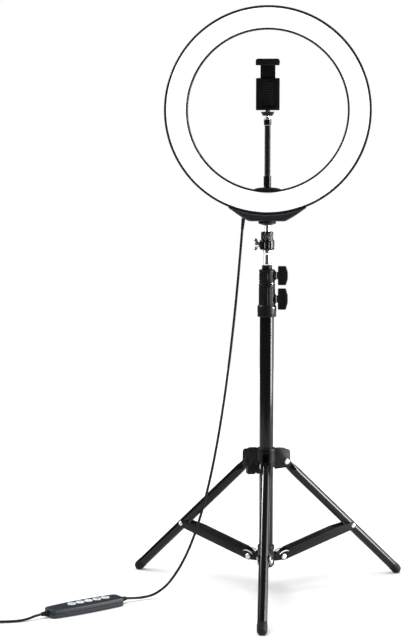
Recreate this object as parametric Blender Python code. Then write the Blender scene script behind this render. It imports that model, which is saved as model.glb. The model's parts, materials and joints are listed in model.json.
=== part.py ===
"""Ring light on a folding floor stand, with a phone holder on a gooseneck and an in-line controller.

Metres, +Z up. The light faces -Y. The origin is on the floor at the middle of the stand's footprint.
"""
import math

import bmesh
import bpy
from mathutils import Matrix, Vector

# ---------------------------------------------------------------- driving dimensions
GAP = 0.0003                     # clearance between touching pieces
RUN = 0.00035                    # extra radius of a hole around what slides or turns in it

FOOT_REACH = 0.2298              # column axis to the centre of a foot's rounded end
COLUMN_Y = FOOT_REACH / 4        # the footprint reaches twice as far forward as back
LEG_AZIMUTHS = {"front": -90.0, "right": 30.0, "left": 150.0}

# stand column: three tubes, one inside the other
MAIN_TUBE_R, MAIN_TUBE_BORE = 0.0103, 0.0093
MIDDLE_TUBE_R, MIDDLE_TUBE_BORE = 0.0083, 0.0073
TOP_TUBE_R, TOP_TUBE_BORE = 0.0062, 0.0052
MAIN_TUBE_Z = (0.0365, 0.4410)
MIDDLE_TUBE_Z = (0.0700, 0.4705)
TOP_TUBE_Z = (0.1000, 0.4793)
LOWER_LOCK_Z = (0.4100, 0.4580)
UPPER_LOCK_Z = (0.4583, 0.4790)
LOWER_LOCK_R, UPPER_LOCK_R = 0.0120, 0.0115
LOWER_LOCK_BAND = (0.0138, 0.4275)                 # the lower collar's wider foot, and its top

# folding tripod
LEG_PIVOT = (0.0310, 0.1930)     # distance from the column axis, height
BRACE_PIVOT = (0.0260, 0.0500)
BRACE_JOIN_REACH = 0.1465        # where a brace meets its leg
LEG_R, LEG_BORE, FOOT_R = 0.0071, 0.0061, 0.0074
LEG_BORE_START = 0.0240          # where the flattened top end gives way to the hollow tube
FOOT_LENGTH = 0.010
SOLE_DROP = 0.0062               # height of the rounded end's centre above the sole
LEG_COLLAR_Z = (0.1770, 0.2156)
LEG_COLLAR_R = 0.0135
SPREADER_Z = (0.0388, 0.0690)
SPREADER_R = 0.0125
CHANNEL_INNER, CHANNEL_OUTER = 0.00765, 0.00865   # half widths of a brace's U channel
WEB_IN, WEB_OUT = 0.0078, 0.0088                  # the channel's web, above the line of its pivots
WEB_SPAN = (0.010, 0.096)                         # stretch of the brace that has a web
PIN_R = 0.0020
TAB_HALF = 0.0040                # half thickness of a leg's flattened top end
CHEEK_IN, CHEEK_OUT = 0.0043, 0.0073              # the two cheeks that hold it

# clamping knobs
KNOB_REACH = (0.0160, 0.0305)    # flat inner face and crown of a knob's head
KNOB_THICK = 0.0115
LOWER_KNOB_Z, UPPER_KNOB_Z = 0.4358, 0.4702
LOWER_KNOB_HEIGHT, UPPER_KNOB_HEIGHT = 0.0306, 0.0274
LEG_KNOB_Z, LEG_KNOB_AZIMUTH = 0.1835, 198.0

# ball head
SEAT_Z = (0.4796, 0.4853)
SPIGOT_Z = (0.4856, 0.5076)
BALL_Z, BALL_R = 0.5235, 0.0075
HOUSING_Z, HOUSING_R = (0.5079, 0.5222), 0.01065
CAP_Z, CAP_R = (0.5225, 0.5342), 0.0089
PLATFORM_Z = (0.5432, 0.5494)
PLATFORM_R = 0.0130
WING_Z = 0.5153                  # axis of the wing screw

# ring light
RING_Z = 0.7093
RING_OUTER_R, RING_INNER_R = 0.1500, 0.1155
RIM = 0.0024                     # thickness of the black rim seen around the light
RING_BACK, RING_LIP = 0.0110, -0.0040             # y of the back and of the rims' front edge
SADDLE_HALF = 0.0565             # half the width of the crescent under the ring
SADDLE_FLAT_HALF, SADDLE_KNEE = 0.0265, 0.0390
SADDLE_BOTTOM_Z = 0.5497
SADDLE_DEPTH = 0.0185
GLAND_X, GLAND_Z = -0.0345, 0.5540                # end of the cable gland
GLAND_LEAN = 8.0                # degrees from straight down, towards -X

# phone holder
ARM_BASE_HALF, ARM_BASE_DEPTH = 0.0200, 0.0105
ARM_BASE_TOP_Z = 0.5985
NECK_R, FERRULE_R = 0.00435, 0.0055
NECK_HINGES = (0.6200, 0.6540)
NECK_TOP_Z = 0.6880
FERRULE_TOP_Z = 0.6968
KNUCKLE_Z, KNUCKLE_R = 0.7062, 0.0042
JAW_HALF = 0.0172
JAW_GAP_Z = (0.7116, 0.7766)     # the space a phone stands in
TOP_JAW_Z = 0.7832
JAW_FRONT, JAW_BACK = -0.0125, 0.0045             # y of the lips' front and of the back plate's face
PLATE_BACK = 0.0120
PLATE_TOP_Z = 0.7560

# controller that lies on the floor, and the cord
CONTROLLER_AT = (-0.2560, -0.0667)                # middle of the controller on the floor
CONTROLLER_HEADING = 219.0       # degrees, the way its far end points
CONTROLLER_LENGTH, CONTROLLER_WIDTH, CONTROLLER_END = 0.1210, 0.0325, 0.0266
CONTROLLER_SPLIT, CONTROLLER_TOP = 0.0062, 0.0130
BUTTON_R, BUTTON_PITCH, FIRST_BUTTON = 0.0062, 0.0141, 0.0254
BUTTON_PROUD = 0.0012
BOOT_LENGTH, BOOT_R, BOOT_Z = 0.0110, 0.0044, 0.0062
CORD_R = 0.0019
COIL_AT = (-0.4560, -0.1500)
COIL_MID_R, COIL_HALF = 0.0215, 0.0058
PLUG_SIZE = (0.0440, 0.0155, 0.0080)

# the cord's route, from the gland to the controller
UPPER_ROUTE = [
    (-0.0346, 0.0575, 0.5536), (-0.0367, 0.0568, 0.5317), (-0.0393, 0.0556, 0.4986),
    (-0.0440, 0.0536, 0.4436), (-0.0495, 0.0512, 0.3885), (-0.0558, 0.0484, 0.3334),
    (-0.0632, 0.0452, 0.2783), (-0.0720, 0.0414, 0.2233), (-0.0816, 0.0372, 0.1737),
    (-0.0922, 0.0325, 0.1297), (-0.1040, 0.0273, 0.0911), (-0.1163, 0.0219, 0.0608),
    (-0.1302, 0.0157, 0.0360), (-0.1452, 0.0090, 0.0175), (-0.1620, 0.0010, 0.0068),
    (-0.1780, -0.0068, 0.0040), (-0.1895, -0.0134, 0.0046), (-0.2001, -0.0214, 0.0062),
]
# and from the controller to the coil
LOWER_ROUTE = [
    (-0.3119, -0.1120, 0.0062), (-0.3193, -0.1178, 0.0054), (-0.3280, -0.1240, 0.0032),
    (-0.3390, -0.1300, 0.0020), (-0.3560, -0.1352, 0.0020), (-0.3760, -0.1370, 0.0020),
    (-0.3970, -0.1352, 0.0020), (-0.4170, -0.1312, 0.0020), (-0.4360, -0.1290, 0.0020),
]

BLACK, GLOSS, CHROME = (0.02, 0.02, 0.022), (0.03, 0.03, 0.033), (0.8, 0.8, 0.82)
CHARCOAL, WHITE, NAVY = (0.045, 0.045, 0.05), (0.95, 0.95, 0.95), (0.018, 0.024, 0.034)


# ---------------------------------------------------------------- small tools
def clear_scene():
    for old in list(bpy.data.objects):
        bpy.data.objects.remove(old)


def material(name, colour, roughness, metallic=0.0):
    """A plain Principled material, made once for each name."""
    found = bpy.data.materials.get(name) or bpy.data.materials.new(name)
    found.use_nodes = True
    shader = found.node_tree.nodes["Principled BSDF"]
    shader.inputs["Base Color"].default_value = (*colour, 1.0)
    shader.inputs["Roughness"].default_value = roughness
    shader.inputs["Metallic"].default_value = metallic
    return found


def mesh_from(bm):
    """Close the books on a bmesh: faces out, and a mesh back."""
    bmesh.ops.recalc_face_normals(bm, faces=bm.faces)
    mesh = bpy.data.meshes.new("shape")
    bm.to_mesh(mesh)
    bm.free()
    return mesh


def turned(profile, sides=20, hollow=False):
    """Turn (radius, height) points about Z. A solid's profile ends on the axis or gets flat ends."""
    bm = bmesh.new()
    rings = []
    for radius, height in profile:
        if radius < 1e-7:
            rings.append([bm.verts.new((0.0, 0.0, height))])
            continue
        angles = [math.tau * k / sides for k in range(sides)]
        rings.append([bm.verts.new((radius * math.cos(t), radius * math.sin(t), height)) for t in angles])
    pairs = list(zip(rings, rings[1:]))
    if hollow:
        pairs.append((rings[-1], rings[0]))
    for low, high in pairs:
        for k in range(sides):
            corners = [low[k % len(low)], low[(k + 1) % len(low)]]
            corners += [high[(k + 1) % len(high)], high[k % len(high)]]
            bm.faces.new(list(dict.fromkeys(corners)))
    if not hollow:
        for end in (rings[0], rings[-1]):
            if len(end) > 1:
                bm.faces.new(end)
    return mesh_from(bm)


def tube(outer, bore, low, high, sides=20):
    return turned([(outer, low), (outer, high), (bore, high), (bore, low)], sides, hollow=True)


def disc(radius, low, high, sides=16):
    return turned([(radius, low), (radius, high)], sides)


def dome_points(radius, centre, start, stop, steps):
    """Points of an arc about (0, centre), angles in degrees up from the horizontal."""
    angles = [math.radians(start + (stop - start) * k / steps) for k in range(steps + 1)]
    return [(max(radius * math.cos(t), 0.0), centre + radius * math.sin(t)) for t in angles]


def prism(outline, half):
    """An (x, z) outline, extruded from y = -half to y = half."""
    bm = bmesh.new()
    face = bm.faces.new([bm.verts.new((x, -half, z)) for x, z in outline])
    grown = bmesh.ops.extrude_face_region(bm, geom=[face])["geom"]
    moved = [item for item in grown if isinstance(item, bmesh.types.BMVert)]
    bmesh.ops.translate(bm, verts=moved, vec=(0.0, 2 * half, 0.0))
    return mesh_from(bm)


def rounded(corners, steps=4):
    """An outline with each (x, z, radius) corner rounded by an arc."""
    points = []
    count = len(corners)
    for k, (x, z, radius) in enumerate(corners):
        here = Vector((x, z))
        back = (Vector(corners[k - 1][:2]) - here).normalized()
        ahead = (Vector(corners[(k + 1) % count][:2]) - here).normalized()
        if radius <= 0.0:
            points.append((x, z))
            continue
        half = back.angle(ahead) / 2
        centre = here + (back + ahead).normalized() * (radius / math.sin(half))
        first = here + back * (radius / math.tan(half)) - centre
        last = here + ahead * (radius / math.tan(half)) - centre
        turn = first.angle_signed(last)
        for step in range(steps + 1):
            arm = first.copy()
            arm.rotate(Matrix.Rotation(-turn * step / steps, 2))
            points.append(tuple(centre + arm))
    return points


def block(low, high, bevel=0.0, segments=2):
    """A box between two corners, with rounded edges."""
    bm = bmesh.new()
    bmesh.ops.create_cube(bm, size=1.0)
    low, high = Vector(low), Vector(high)
    size, middle = high - low, (low + high) / 2
    bmesh.ops.scale(bm, vec=size, verts=bm.verts)
    bmesh.ops.translate(bm, vec=middle, verts=bm.verts)
    if bevel:
        bmesh.ops.bevel(bm, geom=list(bm.edges), offset=bevel, segments=segments, profile=0.5, affect="EDGES")
    return mesh_from(bm)


def moved(mesh, matrix):
    mesh.transform(matrix)
    return mesh


def place(x=0.0, y=0.0, z=0.0):
    return Matrix.Translation((x, y, z))


def spin(degrees, axis):
    return Matrix.Rotation(math.radians(degrees), 4, axis)


def built(mesh, joined=(), cut=()):
    """One mesh: the first shape, with others joined to it and cut from it."""
    if not joined and not cut:
        return mesh
    body = bpy.data.objects.new("body", mesh)
    bpy.context.scene.collection.objects.link(body)
    tools = []
    steps = [("UNION", shape) for shape in joined] + [("DIFFERENCE", shape) for shape in cut]
    for operation, shape in steps:
        tool = bpy.data.objects.new("tool", shape)
        bpy.context.scene.collection.objects.link(tool)
        tools.append(tool)
        step = body.modifiers.new(operation, "BOOLEAN")
        step.operation = operation
        step.solver = "EXACT"
        step.object = tool
    graph = bpy.context.evaluated_depsgraph_get()
    result = bpy.data.meshes.new_from_object(body.evaluated_get(graph))
    for item in [body, *tools]:
        bpy.data.objects.remove(item)
    return result


def piece(name, mesh, look, at=(0.0, COLUMN_Y, 0.0), turn=0.0):
    """A named part. Its mesh is measured from its origin, which is on its joint's axis if it moves."""
    mesh = mesh.copy() if mesh.users else mesh
    mesh.name = name
    mesh.materials.clear()
    mesh.materials.append(look)
    mesh.shade_smooth()
    mesh.set_sharp_from_angle(angle=math.radians(32))
    part = bpy.data.objects.new(name, mesh)
    bpy.context.scene.collection.objects.link(part)
    part.location = at
    part.rotation_euler = (0.0, 0.0, math.radians(turn))
    return part


def around(azimuth, reach, height):
    """A point at a distance from the column axis."""
    angle = math.radians(azimuth)
    return (reach * math.cos(angle), COLUMN_Y + reach * math.sin(angle), height)


# ---------------------------------------------------------------- stand column
def column():
    gloss = material("black_lacquer", GLOSS, 0.22)
    plastic = material("black_plastic", BLACK, 0.38)
    piece("main_tube", tube(MAIN_TUBE_R, MAIN_TUBE_BORE, *MAIN_TUBE_Z), gloss)
    piece("middle_tube", tube(MIDDLE_TUBE_R, MIDDLE_TUBE_BORE, *MIDDLE_TUBE_Z), gloss)
    piece("top_tube", tube(TOP_TUBE_R, TOP_TUBE_BORE, *TOP_TUBE_Z), gloss)
    lock_collar("lower_lock_collar", plastic, LOWER_LOCK_R, LOWER_LOCK_Z, MAIN_TUBE_R, MIDDLE_TUBE_R,
                MAIN_TUBE_Z[1], LOWER_KNOB_Z, LOWER_LOCK_BAND)
    lock_collar("upper_lock_collar", plastic, UPPER_LOCK_R, UPPER_LOCK_Z, MIDDLE_TUBE_R, TOP_TUBE_R,
                MIDDLE_TUBE_Z[1], UPPER_KNOB_Z)
    lock_knob("lower_lock_knob", plastic, LOWER_KNOB_HEIGHT, LOWER_KNOB_Z, MAIN_TUBE_R + 2 * GAP)
    lock_knob("upper_lock_knob", plastic, UPPER_KNOB_HEIGHT, UPPER_KNOB_Z, MIDDLE_TUBE_R + 2 * GAP)


def lock_collar(name, look, radius, span, outer_tube, inner_tube, tube_end, knob_z, band=None):
    """A sleeve on a tube's top end, with a boss for its knob and a narrow mouth for the next tube."""
    low, high = span
    edge, lip = 0.0010, outer_tube + GAP
    mouth = inner_tube + RUN
    foot = [(radius - edge, low), (radius, low + edge)]
    if band:
        wide, top = band
        foot = [(wide - edge, low), (wide, low + edge), (wide, top - 0.0018), (radius, top)]
    profile = foot + [
        (radius, high - edge), (radius - edge, high), (mouth, high), (mouth, tube_end + GAP),
        (lip, tube_end + GAP), (lip, low),
    ]
    sleeve = turned(profile, 20, hollow=True)
    boss = moved(disc(0.0062, outer_tube + 0.0012, KNOB_REACH[0] - 0.0022), place(z=knob_z) @ spin(90, "Y"))
    screw_hole = moved(disc(0.0029, 0.0, 0.030, 12), place(z=knob_z) @ spin(90, "Y"))
    bore = disc(lip, low - 0.001, tube_end + GAP, 20)
    piece(name, built(sleeve, [boss], [bore, screw_hole]), look)


def lock_knob(name, look, height, knob_z, tip):
    """A T-shaped head on a neck, and the screw that presses on the tube."""
    flat, crown = KNOB_REACH
    half = height / 2
    side = crown - 0.0028
    outline = rounded([
        (flat, -half, 0.0012), (side, -half, 0.0016), (crown, -half * 0.35, 0.0100),
        (crown, half * 0.35, 0.0100), (side, half, 0.0016), (flat, half, 0.0012),
    ], 3)
    head = prism(outline, KNOB_THICK / 2)
    neck = moved(disc(0.0055, KNOB_REACH[0] - 0.0018, KNOB_REACH[0] + 0.004), spin(90, "Y"))
    shank = moved(disc(0.0025, tip, KNOB_REACH[0] + 0.002, 12), spin(90, "Y"))
    piece(name, built(head, [neck, shank]), look, at=(0.0, COLUMN_Y, knob_z))


# ---------------------------------------------------------------- folding tripod
def leg_geometry():
    """The leg's direction at rest, its length to the foot's centre, and where its brace meets it."""
    start = Vector(LEG_PIVOT)
    end = Vector((FOOT_REACH, SOLE_DROP))
    along = (end - start).normalized()
    join = start + along * ((BRACE_JOIN_REACH - start.x) / along.x)
    return along, (end - start).length, join


def in_plane(direction):
    """Turn +X to a direction in the leg's upright plane."""
    return spin(-math.degrees(math.atan2(direction.y, direction.x)), "Y")


def cross_hole(x, z, radius, half, sides=12):
    """A cylinder across the leg's plane."""
    return moved(disc(radius, -half, half, sides), place(x, 0.0, z) @ spin(90, "X"))


def leg_mesh():
    """A round tube with a flattened top end, measured from its pivot."""
    along, length, join = leg_geometry()
    end = length - FOOT_LENGTH
    flat_end = 0.0130
    outside = [(0.0, flat_end), (LEG_R, flat_end), (LEG_R, end), (LEG_BORE, end)]
    bore = [(LEG_BORE, LEG_BORE_START + LEG_BORE), (0.0, LEG_BORE_START)]
    shaft = moved(turned(outside + bore, 16), in_plane(along) @ spin(90, "Y"))
    tab_end, tab_reach = 0.0062, 0.0180
    tab_outline = rounded([
        (-tab_end, -tab_end, tab_end - 0.0001), (tab_reach, -0.0060, 0.0010),
        (tab_reach, 0.0060, 0.0010), (-tab_end, tab_end, tab_end - 0.0001),
    ], 6)
    tab = moved(prism(tab_outline, TAB_HALF), in_plane(along))
    at_join = join - Vector(LEG_PIVOT)
    holes = [cross_hole(0.0, 0.0, PIN_R + RUN, 0.012)]
    holes.append(cross_hole(at_join.x, at_join.y, PIN_R + GAP, 0.012))
    return built(shaft, [tab], holes)


def foot_mesh():
    """A rubber cap with a round end, cut flat where it meets the floor."""
    along, length, _ = leg_geometry()
    start = length - FOOT_LENGTH + GAP
    edge, plug_length, plug_r = 0.0008, 0.0120, LEG_BORE - GAP
    plug = [(0.0, start - plug_length), (plug_r, start - plug_length), (plug_r, start)]
    profile = plug + [(FOOT_R - edge, start), (FOOT_R, start + edge)] + dome_points(FOOT_R, length, 0, 90, 4)
    cap = moved(turned(profile, 16), in_plane(along) @ spin(90, "Y"))
    floor = block((0.0, -0.05, -LEG_PIVOT[1] - 0.05), (0.4, 0.05, -LEG_PIVOT[1]))
    return built(cap, (), [floor])


def brace_mesh():
    """A U channel, open below, measured from its lower pivot."""
    _, _, join = leg_geometry()
    line = join - Vector(BRACE_PIVOT)
    length = line.length
    end = 0.0055
    low_end = [(end * math.cos(t), end * math.sin(t)) for t in arc_angles(-90, -270, 6)]
    high_end = [(length + end * math.cos(t), end * math.sin(t)) for t in arc_angles(90, -90, 6)]
    side = low_end + [(WEB_SPAN[0], WEB_OUT), (WEB_SPAN[1], WEB_OUT)] + high_end
    solid = prism(side, CHANNEL_OUTER)
    far = 0.030
    hollow = prism([
        (-far, -far), (length + far, -far), (length + far, far), (WEB_SPAN[1], far), (WEB_SPAN[1], WEB_IN),
        (WEB_SPAN[0], WEB_IN), (WEB_SPAN[0], far), (-far, far),
    ], CHANNEL_INNER)
    holes = [cross_hole(0.0, 0.0, PIN_R + RUN, 0.02), cross_hole(length, 0.0, PIN_R + RUN, 0.02)]
    return moved(built(solid, (), [hollow, *holes]), in_plane(line.normalized()))


def arc_angles(start, stop, steps):
    return [math.radians(start + (stop - start) * k / steps) for k in range(steps + 1)]


def rivet_mesh(half, head_r=0.0040, head=0.0013):
    """A rivet across the leg's plane, with a low head on each side."""
    upper = [
        (PIN_R, half), (head_r, half), (head_r, half + head * 0.4), (head_r * 0.6, half + head),
        (0.0, half + head),
    ]
    lower = [(radius, -height) for radius, height in reversed(upper)]
    return moved(turned(lower + upper, 10), spin(90, "X"))


def tripod():
    gloss = material("black_lacquer", GLOSS, 0.22)
    plastic = material("black_plastic", BLACK, 0.38)
    rubber = material("black_rubber", BLACK, 0.6)
    steel = material("black_sheet_steel", GLOSS, 0.28, 0.3)
    metal = material("bright_metal", CHROME, 0.2, 1.0)
    _, _, join = leg_geometry()
    leg, foot, brace = leg_mesh(), foot_mesh(), brace_mesh()
    leg_pin = rivet_mesh(CHEEK_OUT + GAP)
    lower_pin = rivet_mesh(CHANNEL_OUTER + GAP)
    join_pin = cross_hole(0.0, 0.0, PIN_R, 0.0070)
    for name, azimuth in LEG_AZIMUTHS.items():
        at_leg = around(azimuth, *LEG_PIVOT)
        at_brace = around(azimuth, *BRACE_PIVOT)
        piece(f"{name}_leg", leg, gloss, at_leg, azimuth)
        piece(f"{name}_foot", foot, rubber, at_leg, azimuth)
        piece(f"{name}_brace", brace, steel, at_brace, azimuth)
        piece(f"{name}_leg_pivot_pin", leg_pin, metal, at_leg, azimuth)
        piece(f"{name}_brace_pivot_pin", lower_pin, metal, at_brace, azimuth)
        piece(f"{name}_brace_leg_pin", join_pin, metal, around(azimuth, *join), azimuth)
    leg_collar(plastic)
    spreader_collar(plastic)


def leg_collar(look):
    """The sliding collar that carries the legs, with a pair of cheeks for each."""
    low, high = LEG_COLLAR_Z
    edge = 0.0012
    profile = [
        (LEG_COLLAR_R - edge, low), (LEG_COLLAR_R, low + edge), (LEG_COLLAR_R, high - edge),
        (LEG_COLLAR_R - edge, high), (MAIN_TUBE_R + RUN, high), (MAIN_TUBE_R + RUN, low),
    ]
    reach, height = LEG_PIVOT
    root = 0.0110
    outline = rounded([
        (root, height - 0.0095, 0.0), (reach + 0.0062, height - 0.0085, 0.0055),
        (reach + 0.0058, high - 0.0018, 0.0050), (reach - 0.0080, high, 0.0200), (root, high - 0.0012, 0.0),
    ])
    cheeks, holes = [], []
    for azimuth in LEG_AZIMUTHS.values():
        middle, half = (CHEEK_IN + CHEEK_OUT) / 2, (CHEEK_OUT - CHEEK_IN) / 2
        for side in (-middle, middle):
            cheeks.append(moved(prism(outline, half), spin(azimuth, "Z") @ place(y=side)))
        holes.append(moved(cross_hole(reach, height, PIN_R + GAP, 0.012), spin(azimuth, "Z")))
    radial = spin(LEG_KNOB_AZIMUTH, "Z") @ place(z=LEG_KNOB_Z) @ spin(90, "Y")
    boss = moved(disc(0.0058, 0.0115, 0.0160), radial)
    holes.append(moved(disc(0.0029, 0.0, 0.030, 12), radial))
    holes.append(disc(MAIN_TUBE_R + RUN, low - 0.001, high + 0.001, 20))
    piece("leg_collar", built(turned(profile, 20, hollow=True), [*cheeks, boss], holes), look)
    head = block((0.0178, -0.0066, -0.0060), (0.0298, 0.0066, 0.0060), 0.0018)
    neck = moved(disc(0.0048, 0.0163, 0.0185), spin(90, "Y"))
    shank = moved(disc(0.0025, MAIN_TUBE_R + 2 * GAP, 0.0180, 12), spin(90, "Y"))
    at = (0.0, COLUMN_Y, LEG_KNOB_Z)
    piece("leg_collar_knob", built(head, [neck, shank]), look, at, LEG_KNOB_AZIMUTH)


def spreader_collar(look):
    """The fixed collar at the column's foot, with an ear for each brace."""
    low, high = SPREADER_Z
    edge = 0.0012
    profile = [
        (SPREADER_R - edge, low), (SPREADER_R, low + edge), (SPREADER_R, high - edge),
        (SPREADER_R - edge, high), (MAIN_TUBE_R + GAP, high), (MAIN_TUBE_R + GAP, low),
    ]
    reach, height = BRACE_PIVOT
    ear_r = 0.0052
    tip = [(reach + ear_r * math.cos(t), height + ear_r * math.sin(t)) for t in arc_angles(-90, 90, 6)]
    outline = [(0.0105, height - ear_r), *tip, (0.0105, height + ear_r)]
    ears, holes = [], []
    for azimuth in LEG_AZIMUTHS.values():
        ears.append(moved(prism(outline, CHANNEL_INNER - RUN), spin(azimuth, "Z")))
        holes.append(moved(cross_hole(reach, height, PIN_R + GAP, 0.012), spin(azimuth, "Z")))
    holes.append(disc(MAIN_TUBE_R + GAP, low - 0.001, high + 0.001, 20))
    piece("spreader_collar", built(turned(profile, 20, hollow=True), ears, holes), look)


# ---------------------------------------------------------------- ball head
def ball_head():
    plastic = material("black_plastic", BLACK, 0.38)
    gloss = material("black_lacquer", GLOSS, 0.22)
    chrome = material("chrome", CHROME, 0.12, 1.0)
    low, high = SEAT_Z
    seat = [
        (0.0, low), (0.0068, low), (0.0075, low + 0.0007), (0.0075, high - 0.0010), (0.0065, high),
        (0.0, high),
    ]
    piece("spigot_seat", turned(seat), plastic)
    low, high = SPIGOT_Z
    spigot = [
        (0.0, low), (0.0058, low), (0.0058, low + 0.0035), (0.0050, low + 0.0050), (0.0050, high - 0.0060),
        (0.0056, high - 0.0048), (0.0056, high - 0.0006), (0.0050, high), (0.0, high),
    ]
    piece("spigot", turned(spigot), chrome)

    socket = BALL_R + RUN
    low, high = HOUSING_Z
    bowl = dome_points(socket, BALL_Z, -90, math.degrees(math.asin((high - BALL_Z) / socket)), 5)
    housing = [
        (0.0, low), (HOUSING_R - 0.0012, low), (HOUSING_R, low + 0.0012), (HOUSING_R, high - 0.0010),
        (HOUSING_R - 0.0010, high), *reversed(bowl),
    ]
    cup = turned(housing, 20)
    boss = moved(disc(0.0042, 0.0080, 0.0118), place(z=WING_Z) @ spin(-90, "Y"))
    screw_hole = moved(disc(0.0020, 0.0090, 0.0300, 12), place(z=WING_Z) @ spin(-90, "Y"))
    piece("ball_head_base", built(cup, [boss], [screw_hole]), gloss)

    low, high = CAP_Z
    seat_top = BALL_Z + 0.0036
    start = math.degrees(math.asin((low - BALL_Z) / socket))
    stop = math.degrees(math.asin((seat_top - BALL_Z) / socket))
    cap = [
        (CAP_R, low), (CAP_R, high - 0.0010), (CAP_R - 0.0008, high), (0.0077, high),
        *reversed(dome_points(socket, BALL_Z, start, stop, 3)),
    ]
    piece("ball_head_cap", turned(cap, 20, hollow=True), gloss)

    piece("ball", turned(dome_points(BALL_R, 0.0, -90, 90, 8), 16), chrome, (0.0, COLUMN_Y, BALL_Z))

    stud_low, flange = BALL_R + GAP, PLATFORM_Z[0] - BALL_Z - GAP
    screw_top = SADDLE_BOTTOM_Z + 0.0055 - BALL_Z
    stud = [
        (0.0, stud_low), (0.0034, stud_low), (0.0034, flange), (0.0030, flange), (0.0030, screw_top - 0.0005),
        (0.0025, screw_top), (0.0, screw_top),
    ]
    piece("ball_stud", turned(stud, 16), chrome, (0.0, COLUMN_Y, BALL_Z))
    low, high = PLATFORM_Z[0] - BALL_Z, PLATFORM_Z[1] - BALL_Z
    dish = [
        (0.0038, low), (PLATFORM_R - 0.0035, low + 0.0018), (PLATFORM_R, low + 0.0032),
        (PLATFORM_R, high - 0.0004), (PLATFORM_R - 0.0004, high), (0.0034, high), (0.0034, low),
    ]
    piece("mount_platform", turned(dish, 20, hollow=True), plastic, (0.0, COLUMN_Y, BALL_Z))

    lower = [
        (-0.0022, -0.0040, 0.0012), (-0.0048, -0.0088, 0.0024), (0.0010, -0.0092, 0.0020),
        (0.0030, -0.0040, 0.0015),
    ]
    upper = [(x, -z, radius) for x, z, radius in reversed(lower)]
    wing = prism(rounded(lower + upper), 0.0016)
    hub = moved(disc(0.0040, 0.0121, 0.0185), spin(-90, "Y"))
    shank = moved(disc(0.0016, 0.0100, 0.0150, 12), spin(-90, "Y"))
    wings = moved(wing, place(x=-0.0160))
    piece("wing_screw", built(hub, [wings, shank]), chrome, (0.0, COLUMN_Y, WING_Z))


# ---------------------------------------------------------------- ring light
def ring_turned(profile, sides=64):
    """A closed (radius, y) profile, turned about the ring's axis along Y."""
    return moved(turned([(radius, -y) for radius, y in profile], sides, hollow=True), spin(90, "X"))


def ring_light():
    shell = material("black_lacquer", GLOSS, 0.22)
    charcoal = material("charcoal_plastic", CHARCOAL, 0.45)
    milk = material("milk_white_light", WHITE, 0.4)
    centre = (0.0, COLUMN_Y, RING_Z)
    outer, inner, wall = RING_OUTER_R, RING_INNER_R, RIM
    back, lip, corner = RING_BACK, RING_LIP, 0.0045
    housing = [
        (outer, lip), (outer, back - corner), (outer - 0.3 * corner, back - 0.3 * corner),
        (outer - corner, back), (inner + corner, back), (inner + 0.3 * corner, back - 0.3 * corner),
        (inner, back - corner), (inner, lip), (inner + wall, lip), (inner + wall, back - corner),
        (inner + corner, back - wall), (outer - corner, back - wall), (outer - wall, back - corner),
        (outer - wall, lip),
    ]
    piece("rear_housing", ring_turned(housing), shell, centre)

    middle = (outer + inner) / 2
    half = (outer - inner) / 2 - wall - GAP
    skin, foot, spring, crown = 0.0018, -0.0020, -0.0050, -0.0125
    rise, inner_half, inner_rise = crown - spring, half - skin, crown - spring + skin
    outside = [
        (middle + half * math.cos(t), spring + rise * math.sin(t)) for t in arc_angles(0, 180, 6)
    ]
    inside = [
        (middle + inner_half * math.cos(t), spring + inner_rise * math.sin(t)) for t in arc_angles(180, 0, 4)
    ]
    diffuser = [(middle + half, foot), *outside, (middle - half, foot), (middle - half + skin, foot), *inside,
                (middle + half - skin, foot)]
    piece("diffuser", ring_turned(diffuser), milk, centre)

    margin, front, rear = 0.0052, 0.0030, 0.0046
    board = [(inner + margin, front), (outer - margin, front), (outer - margin, rear), (inner + margin, rear)]
    piece("led_board", ring_turned(board, 48), material("led_board", (0.85, 0.85, 0.8), 0.5), centre)
    saddle(charcoal, centre)


def saddle(look, centre):
    """The crescent bracket that carries the ring, with a pocket for the cable gland."""
    fit = RING_OUTER_R + GAP
    spread = math.asin(SADDLE_HALF / fit)
    steps = 24
    sweep = [spread * (2 * k / steps - 1) for k in range(steps + 1)]
    top = [(fit * math.sin(t), -fit * math.cos(t)) for t in sweep]
    bottom = SADDLE_BOTTOM_Z - RING_Z
    tip_z, knee_z = top[0][1] - 0.0008, bottom + 0.0072
    under = rounded([
        (SADDLE_HALF, tip_z, 0.0), (SADDLE_KNEE, knee_z, 0.0120), (SADDLE_FLAT_HALF, bottom, 0.0120),
        (-SADDLE_FLAT_HALF, bottom, 0.0120), (-SADDLE_KNEE, knee_z, 0.0120), (-SADDLE_HALF, tip_z, 0.0),
    ], 3)
    crescent = prism(top + under, SADDLE_DEPTH / 2)
    lean = place(GLAND_X, 0.0, GLAND_Z - RING_Z) @ spin(180 + GLAND_LEAN, "Y")
    pocket_end = -0.0075
    pocket = moved(disc(0.0031, pocket_end, 0.0100), lean)
    screw_hole = disc(0.0034, bottom - 0.002, bottom + 0.0062)
    piece("saddle_bracket", built(crescent, (), [pocket, screw_hole]), look, centre)
    base = pocket_end + GAP
    gland = [(0.0, base), (0.0028, base), (0.0028, -0.0025), (0.0024, 0.0), (0.0, 0.0)]
    piece("cable_gland", moved(turned(gland, 16), lean), look, centre)


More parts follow.
